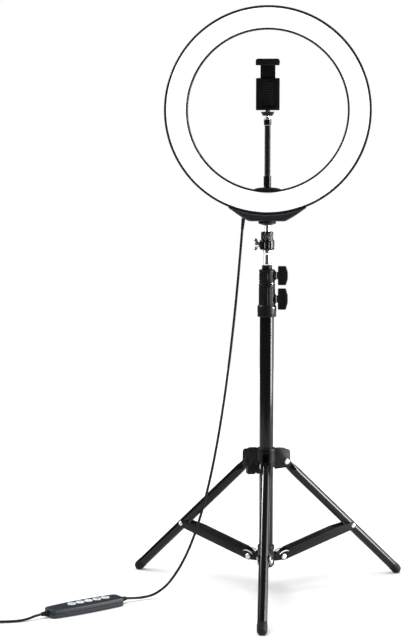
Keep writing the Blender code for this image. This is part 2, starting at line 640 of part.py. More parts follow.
# ---------------------------------------------------------------- phone holder
def phone_holder():
    plastic = material("black_plastic", BLACK, 0.38)
    chrome = material("chrome", CHROME, 0.12, 1.0)
    gloss = material("black_lacquer", GLOSS, 0.22)
    ring = (0.0, COLUMN_Y, RING_Z)
    top = ARM_BASE_TOP_Z - RING_Z
    foot = -RING_INNER_R - 0.002
    dome = [
        (0.0, foot), (ARM_BASE_HALF, foot), (ARM_BASE_HALF, top - 0.0028),
        (ARM_BASE_HALF * 0.86, top - 0.0016), (ARM_BASE_HALF * 0.60, top - 0.0005), (0.0062, top), (0.0, top),
    ]
    mound = turned(dome, 28)
    squeeze = Matrix.Diagonal((1.0, ARM_BASE_DEPTH / ARM_BASE_HALF, 1.0, 1.0))
    outside = moved(tube(0.200, RING_INNER_R - GAP, -0.03, 0.03, 72), spin(90, "X"))
    piece("arm_base", built(moved(mound, squeeze), (), [outside]), plastic, ring)

    first, second = NECK_HINGES
    reach = NECK_R + GAP
    piece("lower_ferrule", ferrule(ARM_BASE_TOP_Z + GAP, first - reach), gloss)
    piece("neck_lower", neck_segment(second - first - reach), plastic, (0.0, COLUMN_Y, first))
    piece("neck_upper", neck_segment(NECK_TOP_Z - second), plastic, (0.0, COLUMN_Y, second))
    piece("upper_ferrule", ferrule(NECK_TOP_Z + GAP, FERRULE_TOP_Z), gloss)

    stem_end = FERRULE_TOP_Z + GAP - KNUCKLE_Z
    waist = math.degrees(math.asin(-0.0036 / KNUCKLE_R))
    stem_r = 0.0019
    ball = dome_points(KNUCKLE_R, 0.0, waist, 90, 6)
    knuckle = [(0.0, stem_end), (stem_r, stem_end), (stem_r, -0.0036), *ball]
    at = (0.0, COLUMN_Y, KNUCKLE_Z)
    piece("clamp_knuckle", turned(knuckle, 20), chrome, at)
    clamp(plastic, at)


def ferrule(low, high):
    """A plain collar at an end of the gooseneck."""
    edge = 0.0006
    return turned([
        (0.0, low), (FERRULE_R, low), (FERRULE_R, high - edge), (FERRULE_R - edge, high), (0.0, high),
    ])


def neck_segment(length):
    """A stretch of gooseneck with a round lower end about its bend."""
    return turned([*dome_points(NECK_R, 0.0, -90, 0, 4), (NECK_R, length), (0.0, length)], 20)


def clamp(look, at):
    """The sprung phone clamp: a body with the lower jaw, and a slider with the upper jaw."""
    floor, roof = JAW_GAP_Z[0] - KNUCKLE_Z, JAW_GAP_Z[1] - KNUCKLE_Z
    top, plate_top = TOP_JAW_Z - KNUCKLE_Z, PLATE_TOP_Z - KNUCKLE_Z
    lip = 0.0030
    base, taper = floor - 0.0078, 0.0105
    jaw_outline = rounded([
        (-taper, base, 0.0020), (taper, base, 0.0020), (JAW_HALF, base + 0.0042, 0.0025),
        (JAW_HALF, floor, 0.0004), (-JAW_HALF, floor, 0.0004), (-JAW_HALF, base + 0.0042, 0.0025),
    ], 2)
    depth = (PLATE_BACK - JAW_FRONT) / 2
    jaw = moved(prism(jaw_outline, depth), place(y=PLATE_BACK - depth))
    lip_back = JAW_FRONT + 0.0032
    front_lip = block((-JAW_HALF, JAW_FRONT, floor - 0.0020), (JAW_HALF, lip_back, floor + lip), 0.0012)
    plate = block((-JAW_HALF, JAW_BACK, floor - 0.0020), (JAW_HALF, PLATE_BACK, plate_top), 0.0014)
    funnel_top = floor - 0.0040
    funnel = turned([(0.0, -0.0046), (0.0072, -0.0046), (0.0100, funnel_top), (0.0, funnel_top)], 24)
    cavity = [
        (0.0, -0.0080), (0.0042, -0.0080), (0.0041, -0.0020),
        *dome_points(KNUCKLE_R + RUN, 0.0, -26, 90, 6),
    ]
    slot_y = (0.0066, 0.0100)
    slot = block((-0.0112, slot_y[0], floor + 0.0020), (0.0112, slot_y[1], plate_top + 0.002))
    piece("clamp_body", built(jaw, [front_lip, plate, funnel], [turned(cavity, 20), slot]), look, at)

    tongue_y = (slot_y[0] + RUN, slot_y[1] - RUN)
    tongue = block((-0.0108, tongue_y[0], floor + 0.0040), (0.0108, tongue_y[1], top - 0.0010))
    upper_outline = rounded([
        (-JAW_HALF, roof, 0.0004), (JAW_HALF, roof, 0.0004), (JAW_HALF, top, 0.0034),
        (-JAW_HALF, top, 0.0034),
    ], 3)
    upper = moved(prism(upper_outline, depth), place(y=PLATE_BACK - depth))
    upper_lip = block((-JAW_HALF, JAW_FRONT, roof - lip), (JAW_HALF, lip_back, top - 0.0020), 0.0012)
    piece("clamp_slider", built(upper, [upper_lip, tongue]), look, at)


# ---------------------------------------------------------------- controller and cord
def controller_outline(inset):
    """A barrel-shaped outline with round corners, in the controller's own length and width."""
    half_length = CONTROLLER_LENGTH / 2 - inset
    end, middle = CONTROLLER_END / 2 - inset, CONTROLLER_WIDTH / 2 - inset
    side = [(half_length * 0.94 * x, end + (middle - end) * (1 - x * x)) for x in (-0.7, 0.0, 0.7)]
    corner = 0.0065
    arc = [(math.cos(t), math.sin(t)) for t in arc_angles(90, 0, 3)]
    right = [(half_length - corner + corner * x, end - corner + corner * y) for x, y in arc]
    half_way = side + right + [(x, -y) for x, y in reversed(right)]
    return half_way + [(-x, -y) for x, y in half_way]


def slab(outlines):
    """A solid through stacked (z, outline) layers of equal count."""
    bm = bmesh.new()
    layers = [[bm.verts.new((x, y, z)) for x, y in outline] for z, outline in outlines]
    for low, high in zip(layers, layers[1:]):
        count = len(low)
        for k in range(count):
            bm.faces.new([low[k], low[(k + 1) % count], high[(k + 1) % count], high[k]])
    bm.faces.new(layers[0])
    bm.faces.new(layers[-1])
    return mesh_from(bm)


def controller_boot(side):
    """The tapered strain relief at one end, from inside the shell to where the cord comes out."""
    inner, outer = CONTROLLER_LENGTH / 2 - 0.0020, CONTROLLER_LENGTH / 2 + BOOT_LENGTH
    profile = [(0.0, inner), (BOOT_R, inner), (BOOT_R, inner + 0.0040), (0.0026, outer), (0.0, outer)]
    return moved(turned(profile, 14), boot_axis(side))


def boot_axis(side):
    return spin(side, "Z") @ place(z=BOOT_Z) @ spin(90, "Y")


def controller():
    shell = material("dark_blue_plastic", NAVY, 0.35)
    white = material("white_buttons", WHITE, 0.4)
    at = (*CONTROLLER_AT, 0.0)
    split, top = CONTROLLER_SPLIT, CONTROLLER_TOP
    full, near = controller_outline(0.0), controller_outline(0.0012)
    base = slab([(0.0, near), (0.0014, full), (split, full)])
    crown, hollow = controller_outline(0.0028), controller_outline(0.0030)
    cover = slab([(split + GAP, full), (top - 0.0022, full), (top - 0.0006, near), (top, crown)])
    cavity = slab([(split - 0.001, hollow), (top - 0.0024, hollow)])
    tray = slab([(0.0022, hollow), (split + 0.001, hollow)])
    places = [-CONTROLLER_LENGTH / 2 + FIRST_BUTTON + BUTTON_PITCH * k for k in range(5)]
    wells = [moved(disc(BUTTON_R + RUN, top - 0.004, top + 0.001, 20), place(x)) for x in places]
    mouth = (CONTROLLER_LENGTH / 2 - 0.0024, CONTROLLER_LENGTH / 2 + 0.0050)
    wells += [moved(disc(BOOT_R + GAP, *mouth), boot_axis(side)) for side in (0.0, 180.0)]
    boots = [controller_boot(side) for side in (0.0, 180.0)]
    piece("controller_base", built(base, boots, [tray]), shell, at, CONTROLLER_HEADING)
    piece("controller_cover", built(cover, (), [cavity, *wells]), shell, at, CONTROLLER_HEADING)
    sunk, edge = -0.0042, 0.0006
    cap = [
        (0.0, sunk), (BUTTON_R, sunk), (BUTTON_R, BUTTON_PROUD - edge),
        (BUTTON_R - edge, BUTTON_PROUD - 0.0001), (0.0, BUTTON_PROUD),
    ]
    names = ("mode", "colour", "dimmer_up", "dimmer_down", "power")
    button = turned(cap, 20)
    for name, x in zip(names, places):
        spot = spin(CONTROLLER_HEADING, "Z") @ Vector((x, 0.0, top))
        piece(f"{name}_button", button, white, (at[0] + spot.x, at[1] + spot.y, spot.z), CONTROLLER_HEADING)


def smooth_route(points, spacing):
    """Evenly spaced points on a Catmull-Rom curve through the route."""
    spots = [Vector(p) for p in points]
    ends = [spots[0] * 2 - spots[1], *spots, spots[-1] * 2 - spots[-2]]
    fine = []
    for a, b, c, d in zip(ends, ends[1:], ends[2:], ends[3:]):
        for k in range(24):
            t = k / 24
            fine.append(0.5 * (2 * b + (c - a) * t + (2 * a - 5 * b + 4 * c - d) * t * t
                               + (3 * b - a - 3 * c + d) * t ** 3))
    fine.append(spots[-1])
    travelled = [0.0]
    for here, ahead in zip(fine, fine[1:]):
        travelled.append(travelled[-1] + (ahead - here).length)
    count = max(2, round(travelled[-1] / spacing))
    result, at = [], 0
    for k in range(count + 1):
        want = travelled[-1] * k / count
        while at < len(fine) - 2 and travelled[at + 1] < want:
            at += 1
        share = (want - travelled[at]) / max(travelled[at + 1] - travelled[at], 1e-9)
        result.append(fine[at].lerp(fine[at + 1], share))
    return result


def cord(name, route, look):
    line = bpy.data.curves.new(name, "CURVE")
    line.dimensions = "3D"
    line.bevel_depth = CORD_R
    line.bevel_resolution = 2
    line.use_fill_caps = True
    line.materials.append(look)
    spots = smooth_route(route, CORD_R * 5.8)
    spline = line.splines.new("POLY")
    spline.points.add(len(spots) - 1)
    for point, spot in zip(spline.points, spots):
        point.co = (*spot, 1.0)
    part = bpy.data.objects.new(name, line)
    bpy.context.scene.collection.objects.link(part)
    return part


def cords():
    rubber = material("black_cord", BLACK, 0.5)
    cord("cord_upper", UPPER_ROUTE, rubber)
    cord("cord_lower", LOWER_ROUTE, rubber)
    x, y = COIL_AT
    outer, inner, top = COIL_MID_R + COIL_HALF, COIL_MID_R - COIL_HALF, 2 * COIL_HALF
    corner = COIL_HALF * 0.45
    ring = [
        (outer, corner), (outer, top - corner), (outer - corner, top), (inner + corner, top),
        (inner, top - corner), (inner, corner), (inner + corner, 0.0), (outer - corner, 0.0),
    ]
    piece("cord_coil", turned(ring, 20, hollow=True), rubber, (x, y, 0.0))
    length, width, height = PLUG_SIZE
    plug = block((-length / 2, -width / 2, 0.0), (length / 2, width / 2, height), 0.0015)
    piece("usb_plug", plug, rubber, (x - 0.004, y - outer - width / 2 - 0.002, 0.0))


clear_scene()
column()
tripod()
ball_head()
ring_light()
phone_holder()
controller()
cords()
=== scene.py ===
"""Looks of a ring light on a folding floor stand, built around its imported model. Metres, +Z up."""
import json
import math

import bmesh
import bpy
from mathutils import Matrix, Vector


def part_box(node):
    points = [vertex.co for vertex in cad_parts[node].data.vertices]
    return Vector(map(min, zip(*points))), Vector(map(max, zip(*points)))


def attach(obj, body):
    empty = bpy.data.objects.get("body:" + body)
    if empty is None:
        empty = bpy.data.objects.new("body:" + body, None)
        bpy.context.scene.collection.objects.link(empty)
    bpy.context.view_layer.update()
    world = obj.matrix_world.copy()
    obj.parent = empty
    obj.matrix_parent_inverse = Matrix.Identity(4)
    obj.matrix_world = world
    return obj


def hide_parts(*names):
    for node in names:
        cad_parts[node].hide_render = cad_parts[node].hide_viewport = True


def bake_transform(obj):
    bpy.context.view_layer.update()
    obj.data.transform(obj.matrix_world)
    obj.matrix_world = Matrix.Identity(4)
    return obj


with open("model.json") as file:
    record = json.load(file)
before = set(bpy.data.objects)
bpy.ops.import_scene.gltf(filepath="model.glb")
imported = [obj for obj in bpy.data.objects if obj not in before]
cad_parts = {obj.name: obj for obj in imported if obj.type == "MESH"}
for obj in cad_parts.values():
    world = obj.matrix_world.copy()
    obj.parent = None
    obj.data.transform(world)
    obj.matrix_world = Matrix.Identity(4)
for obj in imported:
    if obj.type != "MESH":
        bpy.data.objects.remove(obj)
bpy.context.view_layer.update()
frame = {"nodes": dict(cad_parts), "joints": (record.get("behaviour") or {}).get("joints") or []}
JOINTS = {joint["name"]: joint for joint in frame["joints"]}
GAP = 0.0003                     # clearance between touching pieces


# ---------------------------------------------------------------- places read from the frame
def pivot(joint):
    return Vector(JOINTS[joint]["pos_m"])


def low(node):
    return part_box(node)[0]


def high(node):
    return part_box(node)[1]


def half_width(node, axis=0):
    return (high(node)[axis] - low(node)[axis]) / 2


COLUMN_Y = pivot("head_tilt").y
BALL_Z = pivot("head_tilt").z
ON_COLUMN = Matrix.Translation((0.0, COLUMN_Y, 0.0))
RING_Z = (low("rear_housing").z + high("rear_housing").z) / 2
LEGS = {"front": -90.0, "right": 30.0, "left": 150.0}          # azimuths
RING_OUTER, RING_INNER = 0.1500, 0.1155
CAMERA_SPOT, CAMERA_AIM, CAMERA_LENS = (0.0529, -2.5455, 0.7061), (-0.0555, 0.9918, -0.1150), 100.7
FLOOR_LEFT, FLOOR_RIGHT, FLOOR_FRONT, FLOOR_BACK = -1.7, 1.7, -1.3, 2.4
FLOOR_DROP = 0.0004              # keeps the floor just under the feet
SKY_STRENGTH, SUN_STRENGTH, SUN_SIZE, SUN_TURN = 0.11, 3.7, 70.0, (10.0, -8.0)      # angles in degrees
LAMPS = [                        # name, place, width and height, watts, and the only pieces that it lights
    ("right_strip", (1.9, -0.20, 1.0), (0.50, 1.9), 140.0, None),
    ("right_box", (1.9, 0.62, 1.0), (0.9, 1.9), 36.0, None),
    ("high_left", (-1.3, 0.35, 1.35), (0.32, 0.6), 36.0, None),
    ("bright_left", (-1.9, 0.05, 1.0), (1.7, 1.9), 26.0, "bright_metal"),
    ("bright_right", (1.9, 0.30, 1.0), (1.7, 1.9), 14.0, "bright_metal"),
    ("bar_left", (-1.25, -1.75, 0.6), (0.20, 1.2), 26.0, "ball_head"),
    ("bar_right", (1.25, -1.75, 0.6), (0.20, 1.2), 26.0, "ball_head"),
]


# ---------------------------------------------------------------- camera, light and floor
def stage():
    scene = bpy.context.scene
    scene.view_settings.view_transform = "Standard"
    camera = bpy.data.cameras.new("camera")
    camera.lens, camera.sensor_width = CAMERA_LENS, 36.0
    camera.clip_end = 30.0
    eye = bpy.data.objects.new("camera", camera)
    eye.location = CAMERA_SPOT
    eye.rotation_euler = Vector(CAMERA_AIM).to_track_quat("-Z", "Y").to_euler()
    scene.collection.objects.link(eye)
    scene.camera = eye

    world = bpy.data.worlds.new("studio")
    world.use_nodes = True
    nodes, links = world.node_tree.nodes, world.node_tree.links
    sky = nodes["Background"]
    sky.inputs["Color"].default_value = (0.97, 0.98, 1.0, 1.0)
    sky.inputs["Strength"].default_value = SKY_STRENGTH
    wall = nodes.new("ShaderNodeBackground")
    wall.inputs["Color"].default_value = (1.0, 1.0, 1.0, 1.0)
    sight, mix = nodes.new("ShaderNodeLightPath"), nodes.new("ShaderNodeMixShader")
    links.new(sight.outputs["Is Camera Ray"], mix.inputs["Fac"])
    links.new(sky.outputs["Background"], mix.inputs[1])
    links.new(wall.outputs["Background"], mix.inputs[2])
    links.new(mix.outputs["Shader"], nodes["World Output"].inputs["Surface"])
    scene.world = world
    sun = bpy.data.lights.new("overhead", "SUN")
    sun.energy, sun.angle = SUN_STRENGTH, math.radians(SUN_SIZE)
    soft = bpy.data.objects.new("overhead", sun)
    soft.rotation_euler = (math.radians(SUN_TURN[0]), math.radians(SUN_TURN[1]), 0.0)
    soft.visible_glossy = False
    scene.collection.objects.link(soft)
    for name, spot, size, power, only in LAMPS:
        lamp(name, spot, size, power, only)

    edge = [(FLOOR_LEFT, FLOOR_FRONT), (FLOOR_RIGHT, FLOOR_FRONT), (FLOOR_RIGHT, FLOOR_BACK),
            (FLOOR_LEFT, FLOOR_BACK)]
    bm = bmesh.new()
    bm.faces.new([bm.verts.new((x, y, 0.0)) for x, y in edge])
    ground = mesh_of(bm)
    floor = bpy.data.objects.new("floor", ground)
    floor.location.z = -FLOOR_DROP
    ground.materials.append(surface("pale_floor", (0.92, 0.92, 0.922), 0.85, glow=0.15, mottle=0.01,
                                    mottle_size=0.15))
    scene.collection.objects.link(floor)



def lit_group(name):
    """A collection whose objects alone receive a light. It stays out of the scene."""
    return bpy.data.collections.get(name) or bpy.data.collections.new(name)


def lamp(name, spot, size, power, only):
    """A lamp at the column's side that is seen in reflections only."""
    data = bpy.data.lights.new(name, "AREA")
    data.shape = "RECTANGLE"
    data.size, data.size_y = size
    data.energy = power
    light = bpy.data.objects.new(name, data)
    light.location = spot
    aim = Vector((0.0, COLUMN_Y, spot[2])) - Vector(spot)
    light.rotation_euler = aim.to_track_quat("-Z", "Y").to_euler()
    light.visible_diffuse = False
    if only:
        light.light_linking.receiver_collection = lit_group(only)
    bpy.context.scene.collection.objects.link(light)


# ---------------------------------------------------------------- materials
def surface(name, colour, roughness, *, metallic=0.0, coat=0.0, specular=0.5, glow=0.0, mottle=0.10,
            mottle_size=0.02, spread=0.06, grain=0.0, grain_size=0.0006, stretch=(1, 1, 1)):
    """A Principled material with mottled colour, uneven roughness and a fine bump, all from noise."""
    found = bpy.data.materials.get(name)
    if found:
        return found
    made = bpy.data.materials.new(name)
    made.use_nodes = True
    nodes, links = made.node_tree.nodes, made.node_tree.links
    shader = nodes["Principled BSDF"]
    shader.inputs["Metallic"].default_value = metallic
    shader.inputs["Coat Weight"].default_value = coat
    shader.inputs["Coat Roughness"].default_value = 0.06
    shader.inputs["Specular IOR Level"].default_value = specular
    if glow:
        shader.inputs["Emission Color"].default_value = (1.0, 1.0, 1.0, 1.0)
        shader.inputs["Emission Strength"].default_value = glow
    place = nodes.new("ShaderNodeTexCoord")
    scaled = nodes.new("ShaderNodeMapping")
    scaled.inputs["Scale"].default_value = stretch
    links.new(place.outputs["Object"], scaled.inputs["Vector"])

    def noise(size, detail):
        node = nodes.new("ShaderNodeTexNoise")
        node.inputs["Scale"].default_value = 1.0 / size
        node.inputs["Detail"].default_value = detail
        links.new(scaled.outputs["Vector"], node.inputs["Vector"])
        return node.outputs["Fac"]

    broad = noise(mottle_size, 3.0)
    ramp = nodes.new("ShaderNodeValToRGB")
    ramp.color_ramp.elements[0].position, ramp.color_ramp.elements[1].position = 0.3, 0.7
    ramp.color_ramp.elements[0].color = (*[c * (1 - mottle) for c in colour], 1.0)
    ramp.color_ramp.elements[1].color = (*[min(c * (1 + mottle), 1.0) for c in colour], 1.0)
    links.new(broad, ramp.inputs["Fac"])
    links.new(ramp.outputs["Color"], shader.inputs["Base Color"])
    uneven = nodes.new("ShaderNodeMapRange")
    uneven.inputs["To Min"].default_value = max(roughness - spread, 0.02)
    uneven.inputs["To Max"].default_value = min(roughness + spread, 1.0)
    links.new(noise(mottle_size * 0.35, 4.0), uneven.inputs["Value"])
    links.new(uneven.outputs["Result"], shader.inputs["Roughness"])
    if grain:
        bump = nodes.new("ShaderNodeBump")
        bump.inputs["Strength"].default_value = grain
        bump.inputs["Distance"].default_value = grain_size * 0.5
        links.new(noise(grain_size, 2.0), bump.inputs["Height"])
        links.new(bump.outputs["Normal"], shader.inputs["Normal"])
    return made


FINISHES = {                     # material, usual slot, colour, roughness, and what differs from the defaults
    "lacquer": ("gloss_black_lacquer", "black_lacquer", (0.005, 0.005, 0.0055), 0.17,
        dict(coat=0.10, specular=0.20, mottle=0.15, mottle_size=0.03, spread=0.04, grain=0.06,
             grain_size=0.0011)),
    "sheet_steel": ("black_coated_sheet", "black_sheet_steel", (0.008, 0.008, 0.0085), 0.32,
        dict(coat=0.05, specular=0.17, mottle=0.2, mottle_size=0.012, grain=0.12, grain_size=0.0006)),
    "plastic": ("black_moulded_plastic", "black_plastic", (0.008, 0.008, 0.0085), 0.40,
        dict(specular=0.15, mottle=0.18, mottle_size=0.008, grain=0.28, grain_size=0.0005)),
    "shell_gloss": ("black_gloss_shell", "black_gloss_shell", (0.006, 0.006, 0.0065), 0.28,
        dict(coat=0.05, specular=0.16, mottle=0.15, mottle_size=0.03, grain=0.10, grain_size=0.0007)),
    "charcoal": ("charcoal_plastic", "charcoal_plastic", (0.013, 0.011, 0.015), 0.42,
        dict(specular=0.16, mottle=0.16, mottle_size=0.007, grain=0.30, grain_size=0.0006)),
    "rubber": ("matt_black_rubber", "cord_rubber", (0.008, 0.008, 0.0085), 0.62,
        dict(specular=0.20, mottle=0.2, mottle_size=0.006, grain=0.35, grain_size=0.0004)),
    "neck_rubber": ("gooseneck_sleeve", "neck_rubber", (0.007, 0.007, 0.0075), 0.30,
        dict(specular=0.18, mottle=0.15, mottle_size=0.006, grain=0.12, grain_size=0.0004)),
    "cord_rubber": ("black_cord", "cord_rubber", (0.010, 0.010, 0.0115), 0.42,
        dict(specular=0.2, mottle=0.15, mottle_size=0.006, grain=0.15, grain_size=0.0005)),
    "milk": ("milk_white_diffuser", "milk_diffuser", (0.93, 0.93, 0.93), 0.42,
        dict(glow=0.50, mottle=0.012, mottle_size=0.02, grain=0.08, grain_size=0.0005)),
    "chrome": ("polished_chrome", "chrome", (0.74, 0.74, 0.76), 0.12,
        dict(metallic=1.0, mottle=0.04, mottle_size=0.004, spread=0.03, grain=0.02, grain_size=0.0008)),
    "steel": ("bright_steel", "bright_steel", (0.74, 0.74, 0.75), 0.24,
        dict(metallic=1.0, mottle=0.08, mottle_size=0.002, spread=0.08, grain=0.10, grain_size=0.0003)),
    "navy": ("dark_blue_plastic", "controller_shell", (0.017, 0.022, 0.032), 0.48,
        dict(specular=0.4, mottle=0.22, mottle_size=0.0016, grain=0.55, grain_size=0.0007)),
    "button_white": ("white_button", "button_white", (0.88, 0.89, 0.89), 0.38,
        dict(mottle=0.02, mottle_size=0.003, grain=0.10, grain_size=0.0004)),
    "ink": ("dark_print", "cord_rubber", (0.03, 0.035, 0.04), 0.5,
        dict(mottle=0.1, mottle_size=0.002)),
    "board": ("board_white", None, (0.80, 0.80, 0.76), 0.5,
        dict(mottle=0.03, mottle_size=0.004)),
    "saddle_panel": ("charcoal_panel", None, (0.020, 0.016, 0.024), 0.5,
        dict(specular=0.3, mottle=0.2, mottle_size=0.006, grain=0.35, grain_size=0.0006)),
}


def material(finish):
    name, _, colour, roughness, more = FINISHES[finish]
    return surface(name, colour, roughness, **more)


# ---------------------------------------------------------------- mesh tools
def mesh_of(bm):
    bmesh.ops.recalc_face_normals(bm, faces=bm.faces)
    mesh = bpy.data.meshes.new("shape")
    bm.to_mesh(mesh)
    bm.free()
    return mesh


def loft(rings, closed=False):
    """A skin through rings of points. A ring of one point is a tip, and open ends are filled."""
    bm = bmesh.new()
    rows = [[bm.verts.new(point) for point in ring] for ring in rings]
    sides = max(len(row) for row in rows)
    pairs = list(zip(rows, rows[1:]))
    if closed:
        pairs.append((rows[-1], rows[0]))
    for below, above in pairs:
        for k in range(sides):
            corners = [below[k % len(below)], below[(k + 1) % len(below)]]
            corners += [above[(k + 1) % len(above)], above[k % len(above)]]
            bm.faces.new(list(dict.fromkeys(corners)))
    if not closed:
        for end in (rows[0], rows[-1]):
            if len(end) > 1:
                bm.faces.new(end)
    return mesh_of(bm)


def turned(profile, sides=64, closed=False, ripple=None):
    """Turn (radius, height) points about Z. A point on the axis is a tip.

    ripple(angle, height, radius) is added to the radius.
    """
    rings = []
    for radius, height in profile:
        if radius < 1e-7:
            rings.append([(0.0, 0.0, height)])
            continue
        ring = []
        for k in range(sides):
            angle = math.tau * k / sides
            reach = radius + (ripple(angle, height, radius) if ripple else 0.0)
            ring.append((reach * math.cos(angle), reach * math.sin(angle), height))
        rings.append(ring)
    return loft(rings, closed)


def disc(radius, low_z, high_z, sides=48, edge=0.0):
    """A cylinder about Z, with rounded rims if edge is given."""
    if not edge:
        return turned([(radius, low_z), (radius, high_z)], sides)
    arc = arc_points((radius - edge, high_z - edge), edge, 0, 90, 4)
    under = [(r, low_z + high_z - z) for r, z in reversed(arc)]
    return turned([(0.0, low_z), *under, *arc, (0.0, high_z)], sides)


def arc_points(centre, radius, start, stop, steps):
    angles = [math.radians(start + (stop - start) * k / steps) for k in range(steps + 1)]
    return [(centre[0] + radius * math.cos(t), centre[1] + radius * math.sin(t)) for t in angles]


def rounded(corners, steps=6):
    """An outline with each (x, z, radius) corner rounded by an arc."""
    points = []
    count = len(corners)
    for k, (x, z, radius) in enumerate(corners):
        here = Vector((x, z))
        back = (Vector(corners[k - 1][:2]) - here).normalized()
        ahead = (Vector(corners[(k + 1) % count][:2]) - here).normalized()
        if radius <= 0.0:
            points.append((x, z))
            continue
        half = back.angle(ahead) / 2
        centre = here + (back + ahead).normalized() * (radius / math.sin(half))
        first = here + back * (radius / math.tan(half)) - centre
        last = here + ahead * (radius / math.tan(half)) - centre
        turn = first.angle_signed(last)
        for step in range(steps + 1):
            arm = first.copy()
            arm.rotate(Matrix.Rotation(-turn * step / steps, 2))
            points.append(tuple(centre + arm))
    return points


def softened(bm, width, segments=3, angle=35.0):
    """Round every edge that is sharper than an angle."""
    sharp = [e for e in bm.edges if len(e.link_faces) == 2 and e.calc_face_angle() > math.radians(angle)]
    bmesh.ops.bevel(bm, geom=sharp, offset=width, segments=segments, profile=0.5, affect="EDGES",
                    clamp_overlap=True)


def prism(outline, half, bevel=0.0, segments=3):
    """An (x, z) outline, extruded from y = -half to y = half."""
    bm = bmesh.new()
    face = bm.faces.new([bm.verts.new((x, -half, z)) for x, z in outline])
    grown = bmesh.ops.extrude_face_region(bm, geom=[face])["geom"]
    far = [item for item in grown if isinstance(item, bmesh.types.BMVert)]
    bmesh.ops.translate(bm, verts=far, vec=(0.0, 2 * half, 0.0))
    bmesh.ops.recalc_face_normals(bm, faces=bm.faces)
    if bevel:
        softened(bm, bevel, segments, 50.0)
    return mesh_of(bm)


def block(corner, opposite, bevel=0.0, segments=3):
    """A box between two corners, with rounded edges."""
    bm = bmesh.new()
    bmesh.ops.create_cube(bm, size=1.0)
    corner, opposite = Vector(corner), Vector(opposite)
    bmesh.ops.scale(bm, vec=opposite - corner, verts=bm.verts)
    bmesh.ops.translate(bm, vec=(corner + opposite) / 2, verts=bm.verts)
    if bevel:
        bmesh.ops.bevel(bm, geom=list(bm.edges), offset=bevel, segments=segments, profile=0.5,
                        affect="EDGES")
    return mesh_of(bm)


def moved(mesh, matrix):
    mesh.transform(matrix)
    return mesh


def shift(x=0.0, y=0.0, z=0.0):
    return Matrix.Translation((x, y, z))


def spin(degrees, axis):
    return Matrix.Rotation(math.radians(degrees), 4, axis)


def built(mesh, joined=(), cut=()):
    """One mesh: the first shape, with others joined to it and cut from it."""
    body = bpy.data.objects.new("body", mesh)
    bpy.context.scene.collection.objects.link(body)
    tools = []
    for operation, shapes in (("UNION", joined), ("DIFFERENCE", cut)):
        for shape in shapes:
            tool = bpy.data.objects.new("tool", shape)
            bpy.context.scene.collection.objects.link(tool)
            tools.append(tool)
            step = body.modifiers.new(operation, "BOOLEAN")
            step.operation, step.solver, step.object = operation, "EXACT", tool
    graph = bpy.context.evaluated_depsgraph_get()
    result = bpy.data.meshes.new_from_object(body.evaluated_get(graph))
    for item in [body, *tools]:
        bpy.data.objects.remove(item)
    return result


def together(*meshes):
    """Several separate shells in one mesh."""
    bm = bmesh.new()
    for mesh in meshes:
        bm.from_mesh(mesh)
    mesh = bpy.data.meshes.new("shape")
    bm.to_mesh(mesh)
    bm.free()
    return mesh


def piece(name, mesh, finish, body, at=Matrix.Identity(4), replaces=None, smooth=35.0):
    """A visible piece on a body, with edges sharper than smooth degrees kept crisp.

    It replaces the CAD node of its own name, if there is one, unless replaces says otherwise.
    """
    mesh = mesh.copy()
    mesh.transform(at)
    mesh.name = name
    mesh.materials.clear()
    mesh.materials.append(material(finish))
    part = bpy.data.objects.new(f"{name}_seen" if name in frame["nodes"] else name, mesh)
    bpy.context.scene.collection.objects.link(part)
    mesh.shade_smooth()
    mesh.set_sharp_from_angle(angle=math.radians(smooth))
    if finish in ("chrome", "steel"):
        lit_group("bright_metal").objects.link(part)
    if name in ("ball_head_base", "ball_head_cap"):
        lit_group("ball_head").objects.link(part)
    if body:
        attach(part, body)
    if replaces is None and name in frame["nodes"]:
        replaces = name
    if replaces:
        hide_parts(*([replaces] if isinstance(replaces, str) else replaces))
    return part


def around(azimuth, reach, height):
    angle = math.radians(azimuth)
    return Vector((reach * math.cos(angle), COLUMN_Y + reach * math.sin(angle), height))


def coat_node(node, finish):
    """A better material on a CAD node that stays."""
    target = frame["nodes"][node]
    target.data.materials.clear()
    target.data.materials.append(material(finish))


# ---------------------------------------------------------------- cord
CORD_R = 0.0019
UPPER_ROUTE = [
    (-0.0346, 0.0575, 0.5536), (-0.0367, 0.0568, 0.5317), (-0.0393, 0.0556, 0.4986),
    (-0.0440, 0.0536, 0.4436), (-0.0495, 0.0512, 0.3885), (-0.0558, 0.0484, 0.3334),
    (-0.0632, 0.0452, 0.2783), (-0.0720, 0.0414, 0.2233), (-0.0816, 0.0372, 0.1737),
    (-0.0922, 0.0325, 0.1297), (-0.1040, 0.0273, 0.0911), (-0.1163, 0.0219, 0.0608),
    (-0.1302, 0.0157, 0.0360), (-0.1452, 0.0090, 0.0175), (-0.1620, 0.0010, 0.0068),
    (-0.1780, -0.0068, 0.0040), (-0.1895, -0.0134, 0.0046), (-0.2001, -0.0214, 0.0062),
]
LOWER_ROUTE = [
    (-0.3119, -0.1120, 0.0062), (-0.3193, -0.1178, 0.0054), (-0.3280, -0.1240, 0.0032),
    (-0.3390, -0.1300, 0.0020), (-0.3560, -0.1352, 0.0020), (-0.3760, -0.1370, 0.0020),
    (-0.3970, -0.1352, 0.0020), (-0.4170, -0.1312, 0.0020), (-0.4360, -0.1290, 0.0020),
]
COIL_ENTRY = [(-0.4360, -0.1282, 0.0020), (-0.4440, -0.1262, 0.0020), (-0.4500, -0.1253, 0.0020)]
COIL_EXIT = [
    (-0.4538, -0.1752, 0.0097), (-0.4460, -0.1743, 0.0097), (-0.4380, -0.1727, 0.0093),
    (-0.4310, -0.1718, 0.0070), (-0.4251, -0.1741, 0.0046), (-0.4229, -0.1794, 0.0034),
    (-0.4251, -0.1848, 0.0034), (-0.4305, -0.1870, 0.0038), (-0.4350, -0.1870, 0.0040),
    (-0.4400, -0.1870, 0.0040),
]
